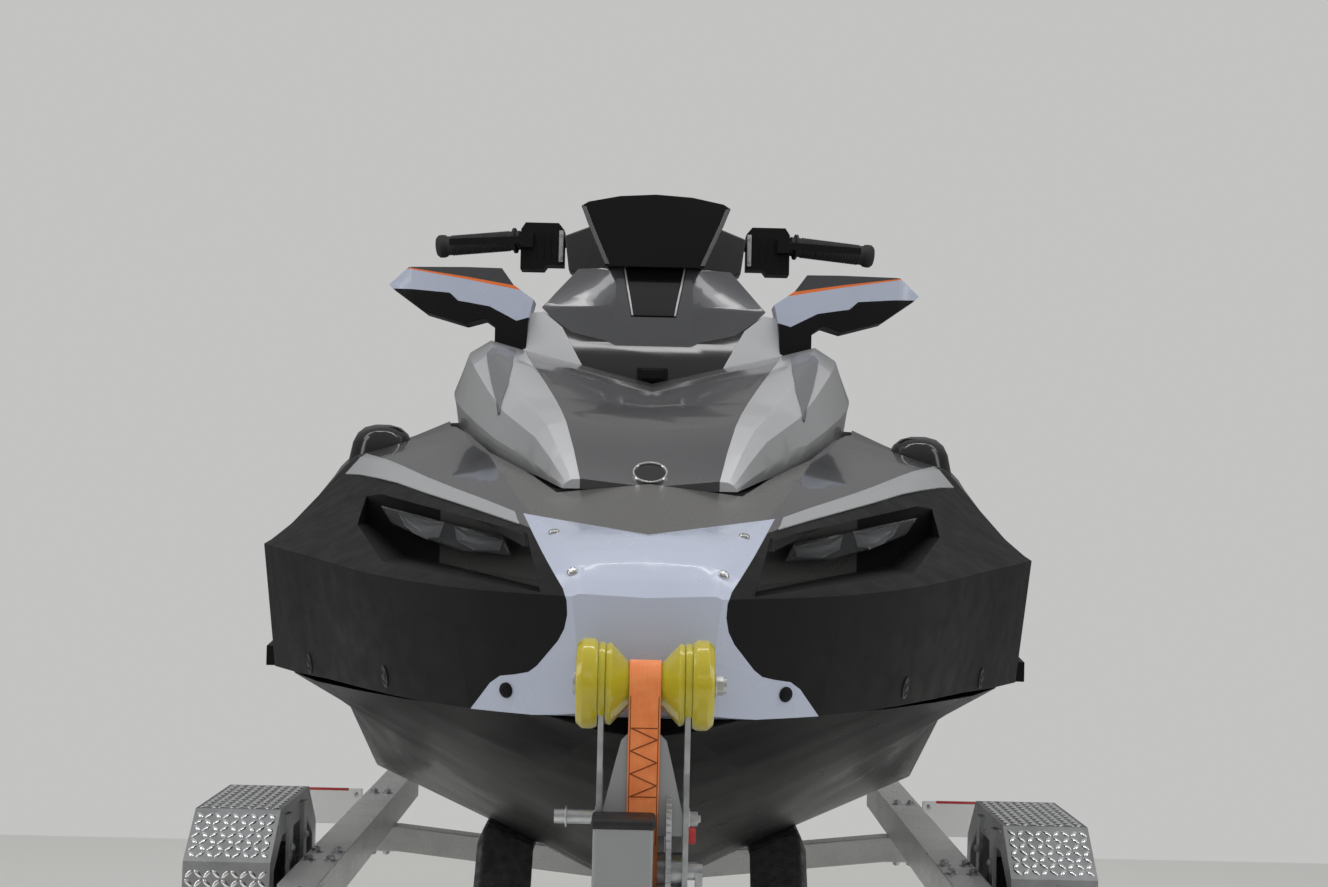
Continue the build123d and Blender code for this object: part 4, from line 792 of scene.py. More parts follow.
for side in (-1, 1):
    x0, x1 = sorted((side * GAP_X0, side * GAP_X1))
    lip = turned([(0.030, 0), (0.0452, 0), (0.0462, 0.0025), (0.0462, 0.0051), (0.0452, 0.0076),
                  (0.030, 0.0076), (0.030, 0)], place(x0, ROLLER_S, ROLLER_H), (1, 0, 0), 72)
    pick(lip)
    bpy.ops.object.mode_set(mode="EDIT")
    bpy.ops.mesh.select_all(action="DESELECT")
    shape = bmesh.from_edit_mesh(lip.data)
    axis = place(0, ROLLER_S, ROLLER_H)
    for face in shape.faces:
        middle = face.calc_center_median() - axis
        face.select = middle.z < 0 and abs(middle.y) < abs(middle.z) * 1.05
    bmesh.update_edit_mesh(lip.data)
    bpy.ops.mesh.delete(type="FACE")
    bpy.ops.mesh.select_all(action="SELECT")
    bpy.ops.mesh.fill_holes(sides=8)
    bpy.ops.mesh.normals_make_consistent(inside=False)
    bpy.ops.object.mode_set(mode="OBJECT")
    soften(lip, 0, crease=45)
    lips.append(lip)
settle(joined(*lips), "roller_lips", poly)
SHAFT_NUT_X, SHAFT_CLIP_X = 77, -78
shaft_nut = set_out(hex_bolt(0.022, 0.010, 0.027),
                    [(place(SHAFT_NUT_X, ROLLER_S, ROLLER_H), (1, 0, 0))])
settle(shaft_nut, "roller_shaft_nut", zinc)
shaft_clip = turned([(0.0092, -0.0012), (0.0128, -0.0012), (0.0128, 0.0012), (0.0092, 0.0012)],
                    place(SHAFT_CLIP_X, ROLLER_S, ROLLER_H), (1, 0, 0), 32)
soften(shaft_clip, 0, crease=40)
settle(shaft_clip, "roller_shaft_clip", zinc)
CROSS_S, CROSS_H = -30, 366
bolt_mounts = [(place(x, CROSS_S, CROSS_H), (way, 0, 0)) for x, way in ((-84, -1), (-51, -1),
                                                                        (51, 1))]
cross_nuts = set_out(hex_bolt(0.017, 0.011, 0.024), bolt_mounts)
settle(cross_nuts, "winch_cross_nuts", zinc)
pawl_red = new_finish("pawl_red", (0.36, 0.018, 0.020), 0.42)
clouded(pawl_red, 80, 4.0, 0.36, 0.55)
pawl_knob = turned([(0.0095, 0), (0.0095, 0.006), (0.0080, 0.008), (0.0055, 0.008),
                    (0.0050, 0.004), (0.0001, 0.004)], place(51, -62, 352), (1, 0, 0), 28)
soften(pawl_knob, 0, crease=45)
settle(pawl_knob, "winch_pawl_knob", pawl_red)


# Strap guard: a pressed steel plate welded between the winch's arms, behind the strap. It
# is narrower at the top and has a stiffening rib down its middle.
GUARD_S, GUARD_RIB_S, GUARD_RIB_H = -69, -67, (360, 446)
GUARD_ROWS = [(352, 45), (374, 45), (432, 31), (456, 25), (463, 18)]      # height, half width


def sheet(name, rows, thick, edge):
    """A thin sheet through rows of points, from a grid that is drawn into place."""
    down, across = len(rows) - 1, len(rows[0]) - 1
    bpy.ops.object.select_all(action="DESELECT")
    bpy.ops.mesh.primitive_grid_add(x_subdivisions=across, y_subdivisions=down, size=1,
                                    location=(0, 0, 0))
    piece = bpy.context.object
    piece.name = name
    for vert in piece.data.vertices:
        column = round((vert.co.x + 0.5) * across)
        row = round((vert.co.y + 0.5) * down)
        vert.co = rows[row][column]
    pick(piece)
    bpy.ops.object.mode_set(mode="EDIT")
    bpy.ops.mesh.select_all(action="SELECT")
    bpy.ops.mesh.normals_make_consistent(inside=False)
    bpy.ops.object.mode_set(mode="OBJECT")
    wall = piece.modifiers.new("wall", "SOLIDIFY")
    wall.thickness = thick
    wall.offset = 0
    bpy.ops.object.modifier_apply(modifier="wall")
    soften(piece, edge, 2 if edge > 0.0008 else 1, angle=60, crease=30)
    return piece


guard_front = [[place(-half, GUARD_S, h), place(half, GUARD_S, h)] for h, half in GUARD_ROWS]
guard = sheet("strap_guard", guard_front, 0.004, 0.0009)
guard_rib = cylinder(0.0045, *[place(0, GUARD_RIB_S, h) for h in GUARD_RIB_H], 16)
soften(guard_rib, 0.002, 2)
settle(joined(guard, guard_rib), "strap_guard", post_paint)


# Winch strap: woven orange polyester webbing, rolled on the drum and run over the roller's
# waist to the bow eye. Dark zigzag stitching crosses its front run.
webbing = new_finish("webbing", (0.90, 0.26, 0.07), 0.66, Sheen_Weight=0.2)
emboss(webbing, texture(webbing, "Wave", 260, bands_direction="Z", Distortion=0.5), 0.0005, 0.8)
emboss(webbing, texture(webbing, "Wave", 180, bands_direction="X"), 0.0004, 0.7)
tint(webbing, texture(webbing, "Noise", 45, Detail=7.0),
     [(0.3, (0.82, 0.21, 0.050)), (0.7, (0.94, 0.30, 0.09))])
strap_piece = dress("winch_strap", webbing, 0.0008, 1)
strap_thread = new_finish("strap_thread", (0.22, 0.045, 0.012), 0.8)
emboss(strap_thread, texture(strap_thread, "Wave", 900, bands_direction="Z"), 0.0003, 0.6)
bpy.context.view_layer.update()


def sewn(line, radius):
    """Thread laid on the strap's front along (x, h) points."""
    threads = []
    for (x0, h0), (x1, h1) in zip(line, line[1:]):
        ends = []
        for x, h in ((x0, h0), (x1, h1)):
            met, where, _, _ = strap_piece.ray_cast(place(x, -400, h), (0, 1, 0))
            ends.append(where - Vector((0, radius * 0.3, 0)))
        threads.append(cylinder(radius, ends[0], ends[1], 8))
    return threads


SEWN_HALF, SEWN_TOP, SEWN_FOOT, SEWN_TURNS = 14.5, 470, 395, 6
HEM_X, HEM_TOP, HEM_STEP = 15.4, 505, 18
step = (SEWN_TOP - SEWN_FOOT) / SEWN_TURNS
zigzag = [(SEWN_HALF if number % 2 else -SEWN_HALF, SEWN_TOP - number * step)
          for number in range(SEWN_TURNS + 1)]
threads = sewn(zigzag, 0.0007)
for h in (SEWN_TOP, SEWN_FOOT):
    threads += sewn([(-SEWN_HALF, h), (SEWN_HALF, h)], 0.0006)
for x in (-HEM_X, HEM_X):
    threads += sewn([(x, HEM_TOP - number * HEM_STEP) for number in range(10)], 0.00045)
thread_piece = joined(*threads)
soften(thread_piece, 0, crease=60)
settle(thread_piece, "strap_stitching", strap_thread)


# Hull: a black moulded shell with a faint ripple in its gelcoat, worn dull at the bow and
# glossier toward the stern. Its chines and sponsons carry bolted plastic runners, and drain
# plugs sit low in the transom.
gelcoat = new_finish("hull_gelcoat", (0.0045, 0.0045, 0.0048), 0.26)
sternward = texture(gelcoat, "Wave", 0.045, bands_direction="Y", Phase_Offset=1.08)
vary(gelcoat, "Specular IOR Level", sternward, 0.04, 0.50, 0.35, 0.90)
grained(gelcoat, 5, 3.0, 0.0012, 0.25)
grained(gelcoat, 420, 3.0, 0.00006, 0.5)
clouded(gelcoat, 3, 6.0, 0.20, 0.34)
dress("hull", gelcoat, 0.003, 3, crease=32)

moulded = new_finish("moulded_black", (0.0085, 0.0085, 0.009), 0.38,
                     Specular_IOR_Level=0.12)
clouded(moulded, 35, 6.0, 0.36, 0.52)
grain = texture(moulded, "Voronoi", 700, distance="EUCLIDEAN")
emboss(moulded, grain, 0.0003, 0.5)
tint(moulded, texture(moulded, "Noise", 2.5, Detail=8.0),
     [(0.3, (0.0075, 0.0075, 0.0080)), (0.7, (0.0096, 0.0096, 0.0101))])
dress("sponsons", moulded, 0.004, 3)
dress("rub_rails", moulded, 0.004, 3)
dress("ride_plate", moulded, 0.002, 2)

stainless = new_finish("stainless", (0.62, 0.62, 0.61), 0.22, Metallic=1.0)
clouded(stainless, 30, 5.0, 0.20, 0.32)
grained(stainless, 40, 2.0, 0.00006, 0.12)


def touch(piece, start, heading):
    """Where a line from a point meets a piece: the place, and the way the face looks."""
    bpy.context.view_layer.update()
    met, where, normal, _ = piece.ray_cast(start, heading)
    if not met:
        raise ValueError("nothing is met on {} from {}".format(piece.name, tuple(start)))
    return where, normal


SPONSON_SCREW_S = (2320, 2560, 2800, 3040, 3240)
DRAIN_X, DRAIN_H = 300, 180
sponson_piece = bpy.data.objects["sponsons_piece"]
sponson_mounts = []
for side in (-1, 1):
    for s in SPONSON_SCREW_S:
        sponson_mounts.append(touch(sponson_piece, place(side * 900, s, 250), (-side, 0, 0)))
sponson_screws = set_out(button_screw(0.009, 0.004), sponson_mounts)
settle(sponson_screws, "sponson_screws", stainless)
hull_piece = bpy.data.objects["hull_piece"]
plug_mounts = [touch(hull_piece, place(side * DRAIN_X, 3900, DRAIN_H), (0, -1, 0))
               for side in (-1, 1)]
drain_plug = turned([(0.026, 0), (0.026, 0.004), (0.022, 0.008), (0.013, 0.009), (0.012, 0.014),
                     (0.009, 0.016), (0.0001, 0.016)], (0, 0, 0), (0, 0, 1), 32)
soften(drain_plug, 0, crease=40)
wing = slab(Vector((-0.015, -0.003, 0.008)), Vector((0.015, 0.003, 0.020)))
soften(wing, 0.0015)
drain_plugs = set_out(joined(drain_plug, wing), plug_mounts)
settle(drain_plugs, "drain_plugs", moulded)


# Bow eye: a stainless eye, bolted through the stem on a backing washer. The winch strap's
# hook shackle takes it.
dress("bow_eye", stainless, 0.0015, 2)


# Side bumpers: moulded matt black plastic along the bow. Each is held to the hull by black
# screws, sunk in oval holes along its foot.
gloss_dark = new_finish("sunk_black", (0.007, 0.007, 0.007), 0.30)
clouded(gloss_dark, 60, 4.0, 0.24, 0.44)
dress("bumpers", moulded, 0.004, 3)
bumper_piece = bpy.data.objects["bumpers_piece"]
oval = turned([(0.0105, -0.001), (0.0105, 0.0012), (0.0085, 0.0016), (0.0075, 0.0004),
               (0.0001, 0.0004)], (0, 0, 0), (0, 0, 1), 28)
oval.data.transform(Matrix.Diagonal((0.8, 1.35, 1, 1)))
soften(oval, 0, crease=50)
BUMPER_SCREWS = ((448, 492), (320, 496))
bumper_mounts, oval_mounts = [], []
for side in (-1, 1):
    for x, h in BUMPER_SCREWS:
        where, outward = touch(bumper_piece, place(side * x, -600, h), (0, 1, 0))
        oval_mounts.append((where, outward, 0))
        bumper_mounts.append((where + outward * 0.0004, outward))
oval_rims = set_out(oval, oval_mounts)
settle(oval_rims, "bumper_oval_rims", gloss_dark)
bumper_screws = set_out(button_screw(0.0058, 0.0026), bumper_mounts)
settle(bumper_screws, "bumper_screws", gloss_dark)


# Nose plate: pale moulded plastic, painted, with a soft step across it. Four screws hold
# its face, and two dark bolts hold its foot to the stem.
shell_paint = new_finish("shell_paint", (0.40, 0.437, 0.535), 0.30, Coat_Weight=0.4,
                         Coat_Roughness=0.08)
grained(shell_paint, 500, 2.0, 0.00005, 0.5)
clouded(shell_paint, 8, 6.0, 0.20, 0.40)
tint(shell_paint, texture(shell_paint, "Noise", 2.5, Detail=5.0),
     [(0.3, (0.385, 0.42, 0.515)), (0.7, (0.42, 0.455, 0.56))])
dress("bow_plate", shell_paint, 0.004, 4)
plate_piece = bpy.data.objects["bow_plate_piece"]
PLATE_SCREWS = ((-113, 679), (-86, 636), (114, 679), (87, 636))
PLATE_BOLTS = ((-160, 497), (162, 499))
plate_mounts = [touch(plate_piece, place(x, -600, h), (0, 1, 0)) for x, h in PLATE_SCREWS]
plate_screws = set_out(button_screw(0.0065, 0.003), plate_mounts)
settle(plate_screws, "nose_plate_screws", stainless)
foot_mounts = [touch(plate_piece, place(x, -600, h), (0, 1, 0)) for x, h in PLATE_BOLTS]
foot_bolts = set_out(button_screw(0.009, 0.005), foot_mounts)
settle(foot_bolts, "nose_plate_bolts", moulded)


# Bow deck: one moulding that runs as a V round the front lid. It is painted in a warm dark
# metallic grey under a clear coat.
deck_paint = new_finish("collar_paint", (0.098, 0.096, 0.092), 0.34, Metallic=0.25,
                        Coat_Weight=0.5, Coat_Roughness=0.10)


def flaked(finish, per_metre, pale, deep):
    """Gives a metallic paint its flakes, pale in the middle and deep at the edge."""
    tint(finish, texture(finish, "Voronoi", per_metre), [(0.0, pale), (0.6, deep)])


flaked(deck_paint, 1400, (0.110, 0.108, 0.103), (0.086, 0.084, 0.080))
grained(deck_paint, 420, 2.0, 0.00005, 0.5)
clouded(deck_paint, 6, 6.0, 0.22, 0.38)
dress("bow_deck", deck_paint, 0.005, 4, crease=32)


# Shoulders: gloss graphite panels between the bow deck and the cockpit, moulded in one
# piece a side and clipped from inside. A pale sheet along their lower edge is a painted
# highlight of that glossy edge.
graphite = new_finish("graphite_paint", (0.062, 0.063, 0.068), 0.24, Metallic=0.25,
                      Coat_Weight=0.9, Coat_Roughness=0.05)
flaked(graphite, 1400, (0.078, 0.079, 0.085), (0.050, 0.051, 0.055))
grained(graphite, 420, 2.0, 0.00005, 0.5)
clouded(graphite, 6, 6.0, 0.15, 0.30)
dress("shoulders", graphite, 0.004, 4, crease=32)


def laid_on(name, grounds, rows, thick, finish, body=ROOT, across=6, between=1):
    """A thin sheet laid on the pieces beneath. Each row is (x, s) to (x, s), set from above."""
    lines = []
    bpy.context.view_layer.update()
    drawn, rows = rows, rows[:1]
    for (a0, a1), (b0, b1) in zip(drawn, drawn[1:]):
        for step in range(1, between + 1):
            rows.append([tuple(u + (v - u) * step / between for u, v in zip(a, b))
                         for a, b in ((a0, b0), (a1, b1))])
    for (x0, s0), (x1, s1) in rows:
        line = []
        for step in range(across + 1):
            part = step / across
            start = place(x0 + (x1 - x0) * part, s0 + (s1 - s0) * part, 1400)
            best = None
            for ground in grounds:
                met, where, normal, _ = ground.ray_cast(start, (0, 0, -1))
                if met and (best is None or where.z > best[0].z):
                    best = (where, normal)
            line.append(best[0] + best[1] * thick * 0.5)
        lines.append(line)
    return settle(sheet(name, lines, thick, thick * 0.25), name, finish, body)


# A pale silver paint. On the switch clamps it is their own colour; on the shoulders it paints the
# highlight along their glossy lower edge.
collar_and_highlight_paint = new_finish("collar_and_highlight_paint", (0.40, 0.41, 0.42), 0.28, Metallic=0.3, Coat_Weight=0.6,
                        Coat_Roughness=0.06)
flaked(collar_and_highlight_paint, 1600, (0.46, 0.47, 0.48), (0.36, 0.37, 0.38))
clouded(collar_and_highlight_paint, 6, 6.0, 0.22, 0.34)
# Where the painted highlight runs on each shoulder, as rows of (x, s) to (x, s).
SHOULDER_HIGHLIGHT = [((158, 212), (166, 262)), ((203, 299), (207, 349)), ((251, 391), (256, 449)),
        ((298, 480), (303, 548)), ((348, 581), (352, 662)), ((381, 643), (376, 716)),
        ((417, 720), (398, 764)), ((448, 796), (420, 822))]
grounds = [bumper_piece, bpy.data.objects["shoulders_piece"], bpy.data.objects["bow_deck_piece"]]
for side, word in ((1, "left"), (-1, "right")):
    rows = [((side * x0, s0), (side * x1, s1)) for (x0, s0), (x1, s1) in SHOULDER_HIGHLIGHT]
    laid_on("shoulder_highlight_" + word, grounds, rows, 0.0024, collar_and_highlight_paint)


# Speaker pods: domed housings on the shoulders, moulded in gloss black plastic. They stand
# near the outer edge of the deck, ahead of the rider.
gloss_black = new_finish("gloss_black", (0.006, 0.006, 0.0065), 0.14, Coat_Weight=0.3,
                         Coat_Roughness=0.06)
grained(gloss_black, 9, 3.0, 0.0006, 0.2)
clouded(gloss_black, 5, 7.0, 0.09, 0.20)
dress("speaker_pods", gloss_black, 0.004, 4, crease=34)


# Headlamps: a clear moulded lens set in the bumper's recess on each side. Two satin
# reflector bowls show through it.
lamp_glass = new_finish("lamp_glass", (0.55, 0.56, 0.58), 0.03, Transmission_Weight=0.92,
                        IOR=1.25)
grained(lamp_glass, 6, 2.0, 0.0003, 0.2)
clouded(lamp_glass, 14, 6.0, 0.01, 0.06)
dress("headlamps", lamp_glass, 0.003, 3)
reflector = new_finish("lamp_reflector", (0.46, 0.46, 0.46), 0.36, Metallic=0.5)
clouded(reflector, 60, 4.0, 0.28, 0.46)
emboss(reflector, texture(reflector, "Wave", 120, bands_direction="X"), 0.0004, 0.5)
LAMP_SLOPE, LAMP_START = 1.1118, 122      # the lens face's s is slope * x + start
BOWLS = [[(336, 694), (268, 682), (274, 664), (300, 662), (326, 678)],
         [(252, 679), (184, 664), (188, 651), (224, 650), (248, 661)]]


def ringed(rings, closed_end=True):
    """A shell through rings of points, from a circle that is drawn out ring by ring."""
    bpy.ops.object.select_all(action="DESELECT")
    bpy.ops.mesh.primitive_circle_add(vertices=len(rings[0]), radius=1, location=(0, 0, 0))
    shell = bpy.context.object
    bpy.ops.object.mode_set(mode="EDIT")
    shape = bmesh.from_edit_mesh(shell.data)
    shape.verts.ensure_lookup_table()
    for vert, point in zip(shape.verts, rings[0]):
        vert.co = point
    edges = list(shape.edges)
    for before, after in zip(rings, rings[1:]):
        grown = bmesh.ops.extrude_edge_only(shape, edges=edges)["geom"]
        verts = [item for item in grown if isinstance(item, bmesh.types.BMVert)]
        edges = [item for item in grown if isinstance(item, bmesh.types.BMEdge)]
        for vert in verts:
            nearest = min(range(len(before)), key=lambda k: (before[k] - vert.co).length)
            vert.co = after[nearest]
    if closed_end:
        bmesh.ops.contextual_create(shape, geom=edges)
    bmesh.update_edit_mesh(shell.data)
    bpy.ops.mesh.select_all(action="SELECT")
    bpy.ops.mesh.normals_make_consistent(inside=False)
    bpy.ops.object.mode_set(mode="OBJECT")
    return shell


bowls = []
for side in (-1, 1):
    for outline in BOWLS:
        cx = sum(x for x, h in outline) / len(outline)
        ch = sum(h for x, h in outline) / len(outline)
        rings = []
        for scale, deep in ((1.0, 9), (1.0, 12), (0.62, 24), (0.34, 28)):
            ring = []
            for x, h in outline:
                at_x = cx + (x - cx) * scale
                ring.append(place(side * at_x, LAMP_SLOPE * at_x + LAMP_START + deep,
                                  ch + (h - ch) * scale))
            rings.append(ring)
        bowl = ringed(rings)
        wall = bowl.modifiers.new("wall", "SOLIDIFY")
        wall.thickness = 0.0012
        pick(bowl)
        bpy.ops.object.modifier_apply(modifier="wall")
        soften(bowl, 0.0003, 1, angle=50, crease=35)
        bowls.append(bowl)
settle(joined(*bowls), "lamp_bowls", reflector)


# Front lid: a dark metallic middle between silver wings, one moulding on a hinge under its
# nose. A darker silver sheet tapers down each wing as painted shade of a sunken facet, and a
# black enamel badge sits in a chromed ring.
lid_paint = new_finish("lid_paint", (0.062, 0.0615, 0.066), 0.30, Metallic=0.25,
                       Coat_Weight=0.6, Coat_Roughness=0.07)
flaked(lid_paint, 1400, (0.073, 0.072, 0.077), (0.052, 0.051, 0.055))
grained(lid_paint, 420, 2.0, 0.00005, 0.5)
clouded(lid_paint, 6, 6.0, 0.24, 0.38)
dress("hood", lid_paint, 0.004, 4, crease=32)
silver = new_finish("silver_paint", (0.47, 0.475, 0.485), 0.30, Metallic=0.35,
                    Coat_Weight=0.7, Coat_Roughness=0.07)
flaked(silver, 1600, (0.53, 0.535, 0.545), (0.43, 0.435, 0.445))
grained(silver, 420, 2.0, 0.00005, 0.5)
clouded(silver, 5, 6.0, 0.26, 0.40)
wings = dress("hood_sides", silver, 0.005, 4, crease=34)
dress("hood_badge", gloss_black, 0.0008, 2)
chrome = new_finish("chrome", (0.80, 0.80, 0.80), 0.06, Metallic=1.0)
clouded(chrome, 60, 5.0, 0.03, 0.14)
badge_low, badge_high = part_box("hood_badge")
badge_out = Vector((0, badge_low.z - badge_high.z, badge_high.y - badge_low.y)).normalized()
badge_face = touch(bpy.data.objects["hood_badge_piece"], (badge_low + badge_high) / 2
                   + badge_out * 0.1, -badge_out)[0]
ring = turned([(0.0232, -0.003), (0.0232, 0.0004), (0.0222, 0.0016), (0.0204, 0.0016),
               (0.0196, 0.0006), (0.0196, -0.003)], badge_face, badge_out, 64)
soften(ring, 0, crease=40)
settle(ring, "badge_chrome_ring", chrome, "hood")
# A darker silver, laid on each wing as a thin tapering sheet: painted shade for the sunken facet
# there.
facet_shade_paint = new_finish("facet_shade_paint", (0.15, 0.155, 0.165), 0.34, Metallic=0.3,
                         Coat_Weight=0.4, Coat_Roughness=0.10)
flaked(facet_shade_paint, 1500, (0.175, 0.18, 0.19), (0.13, 0.135, 0.145))
clouded(facet_shade_paint, 8, 6.0, 0.26, 0.42)
WING_FACET_SHADE = [((248, 850), (211, 925)), ((243, 797), (205, 765)), ((231, 715), (205, 680)),
         ((219, 648), (210, 636)), ((213, 614), (211, 612))]
for side, word in ((1, "left"), (-1, "right")):
    rows = [((side * x0, s0), (side * x1, s1)) for (x0, s0), (x1, s1) in WING_FACET_SHADE]
    laid_on("wing_facet_shade_" + word, [wings], rows, 0.0024, facet_shade_paint, "hood",
            between=9)


# Console: silver cheeks and a faceted graphite cowl over the steering column. A black panel
# sits in the cowl's recess between bright bevels, and a gloss black crescent closes the
# cowl toward the lid, with the lid's latch button in its middle.
dress("console_sides", silver, 0.004, 4, crease=34)
dress("console", graphite, 0.003, 3, crease=32)
trim_gloss = new_finish("trim_gloss", (0.005, 0.005, 0.0055), 0.13, Coat_Weight=0.3,
                        Coat_Roughness=0.05)
clouded(trim_gloss, 6, 6.0, 0.09, 0.20)
dress("hood_trim", trim_gloss, 0.0015, 2, crease=34)
COWL_NOSE = [(972, 1110), (1032, 1132), (1100, 1172), (1112, 1179)]
INSET_ROWS = [(1018, 37.5), (1032, 40), (1066, 46.5), (1100, 52.5), (1110, 54.5)]


def nose_s(h):
    """How far back the cowl's nose is at a height."""
    for (h0, s0), (h1, s1) in zip(COWL_NOSE, COWL_NOSE[1:]):
        if h <= h1:
            return s0 + (s1 - s0) * (h - h0) / (h1 - h0)
    return COWL_NOSE[-1][1]


def recess_sheet(name, rows, thick, deep):
    """A sheet in the cowl's recess from (h, x0, x1) rows, set a depth below the nose."""
    lines = []
    for h, x0, x1 in rows:
        lines.append([place(x0 + (x1 - x0) * part / 4, nose_s(h) + deep, h)
                      for part in range(5)])
    return sheet(name, lines, thick, min(0.0012, thick * 0.3))


panel = recess_sheet("cowl_panel", [(h, -w + 5, w - 5) for h, w in INSET_ROWS], 0.004, 5.5)
settle(panel, "cowl_panel", gloss_black)
bevels = [recess_sheet("bevel", [(h, w - 4.6, w - 1.2) for h, w in INSET_ROWS], 0.006, 4.6),
          recess_sheet("bevel", [(h, -w + 1.2, -w + 4.6) for h, w in INSET_ROWS], 0.006, 4.6)]
settle(joined(*bevels), "cowl_bright_bevels", silver)
latch_frame = slab(place(-25, 1064, 908), place(25, 1075, 932))
soften(latch_frame, 0.004, 3)
latch_key = slab(place(-18, 1061.5, 912), place(18, 1067, 928))
soften(latch_key, 0.002, 3)
settle(joined(latch_frame, latch_key), "lid_latch_button", moulded)


# Visor: a smoked black screen on the cowl, moulded in one piece. A dark grey bevelled strip
# runs down each side of it.
visor_black = new_finish("visor_black", (0.0035, 0.0035, 0.004), 0.24, Specular_IOR_Level=0.14)
clouded(visor_black, 5, 7.0, 0.20, 0.30)
dress("visor", visor_black, 0.005, 4, crease=34)
strip_grey = new_finish("strip_grey", (0.055, 0.055, 0.058), 0.34, Coat_Weight=0.3)
clouded(strip_grey, 50, 4.0, 0.28, 0.44)
VISOR_SIDE = [(1103, 82), (1140, 98), (1175, 113), (1203, 123.5)]      # height, half width
VISOR_FOOT_H, VISOR_FOOT_S, VISOR_RAKE = 1100, 1148.8, 0.45
strips = []
for side in (-1, 1):
    lines = []
    for h, x in VISOR_SIDE:
        s = VISOR_FOOT_S + (h - VISOR_FOOT_H) * VISOR_RAKE
        lines.append([place(side * (x - 8), s, h), place(side * (x - 0.5), s, h)])
    strips.append(sheet("strip", lines, 0.003, 0.001))
settle(joined(*strips), "visor_side_strips", strip_grey)


# Gauge: a digital display in a black housing behind the visor. Pale segments show under
# its smoked window.
display = new_finish("display", (0.010, 0.012, 0.014), 0.10, Coat_Weight=0.8)
clouded(display, 30, 5.0, 0.06, 0.18)
dress("gauge", display, 0.003, 3)
segment_pale = new_finish("segment_pale", (0.45, 0.50, 0.50), 0.4)
clouded(segment_pale, 90, 3.0, 0.34, 0.5)
GAUGE_TILT = -11.3
DIGIT_X = (-0.020, 0.006)
DIGIT_BARS = [(0, z, 0.014, 0.0025) for z in (0.012, 0, -0.012)]
DIGIT_BARS += [(x, z, 0.0025, 0.010) for z in (0.006, -0.006) for x in (-0.008, 0.008)]
gauge_low, gauge_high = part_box("gauge")
gauge_middle = (gauge_low + gauge_high) / 2
segments = []
tilt = Matrix.Rotation(math.radians(GAUGE_TILT), 4, "X")


def segment(x, z, wide, tall):
    """One bar of the display, by its middle and its size in metres."""
    bar = slab(Vector((x - wide / 2, 0.0066, z - tall / 2)),
               Vector((x + wide / 2, 0.0078, z + tall / 2)))
    bar.data.transform(Matrix.Translation(gauge_middle) @ tilt)
    return bar


for number in range(14):
    segments.append(segment(-0.052 + number * 0.008, 0.026, 0.005, 0.005 + number * 0.0004))
for digit_x in DIGIT_X:
    for x, z, wide, tall in DIGIT_BARS:
        segments.append(segment(digit_x + x, z - 0.002, wide, tall))
for number in range(8):
    segments.append(segment(0.040, -0.020 + number * 0.005, 0.012, 0.003))
segments.append(segment(-0.045, -0.012, 0.012, 0.0025))
segments.append(segment(-0.045, -0.020, 0.012, 0.0025))
settle(joined(*segments), "gauge_segments", segment_pale)


# Mirrors: pale shells over black bases, with a flat glass in each. The upper corner of a
# shell is painted dark grey, and an orange stripe that widens inward divides it off.
mirror_paint = shell_paint.copy()
mirror_paint.name = "mirror_paint"
tree = mirror_paint.node_tree
old_tint = tree.nodes["Principled BSDF"].inputs["Base Color"].links[0]
pale = old_tint.from_socket
where = tree.nodes.new("ShaderNodeTexCoord")
parts = tree.nodes.new("ShaderNodeSeparateXYZ")
tree.links.new(where.outputs["Object"], parts.inputs[0])
outward_x = tree.nodes.new("ShaderNodeMath")
outward_x.operation = "ABSOLUTE"
tree.links.new(parts.outputs["X"], outward_x.inputs[0])
STRIPES = [((0.397, KEEL_Z + 1.0838), (0.226, KEEL_Z + 1.0535), (0.72, 0.155, 0.028)),
           ((0.397, KEEL_Z + 1.0858), (0.226, KEEL_Z + 1.0590), (0.052, 0.053, 0.056))]
for (x0, z0), (x1, z1), colour in STRIPES:
    slope_rise = (z1 - z0) / (x1 - x0)
    rise = tree.nodes.new("ShaderNodeMath")
    rise.operation = "MULTIPLY_ADD"
    rise.inputs[1].default_value = -slope_rise
    rise.inputs[2].default_value = slope_rise * x0 - z0
    tree.links.new(outward_x.outputs[0], rise.inputs[0])
    over = tree.nodes.new("ShaderNodeMath")
    over.operation = "ADD"
    tree.links.new(rise.outputs[0], over.inputs[0])
    tree.links.new(parts.outputs["Z"], over.inputs[1])
    beyond = tree.nodes.new("ShaderNodeMath")
    beyond.operation = "GREATER_THAN"
    beyond.inputs[1].default_value = 0
    tree.links.new(over.outputs[0], beyond.inputs[0])
    paints = tree.nodes.new("ShaderNodeMix")
    paints.data_type = "RGBA"
    paints.inputs["B"].default_value = (*colour, 1)
    tree.links.new(beyond.outputs[0], paints.inputs["Factor"])
    tree.links.new(pale, paints.inputs["A"])
    pale = paints.outputs["Result"]
tree.links.new(pale, tree.nodes["Principled BSDF"].inputs["Base Color"])
dress("mirrors", mirror_paint, 0.004, 3)
dress("mirror_bases", moulded, 0.004, 3)
mirror_face = new_finish("mirror_face", (0.88, 0.89, 0.90), 0.02, Metallic=1.0)
clouded(mirror_face, 12, 6.0, 0.01, 0.06)
dress("mirror_glass", mirror_face, 0.0008, 2)


# Glovebox lid: moulded black plastic on a hinge at its front edge, with a raised rim round
# its top.
dress("glovebox_lid", moulded, 0.003, 3)
glove_rim = slab(place(-78, 1482, 947), place(78, 1546, 949.5))
inset_faces(glove_rim, (0, 0, 1), (0.007, 0), (0.001, -0.0016))
soften(glove_rim, 0.0006, 2)
settle(glove_rim, "glovebox_lid_rim", moulded, "glovebox_lid")


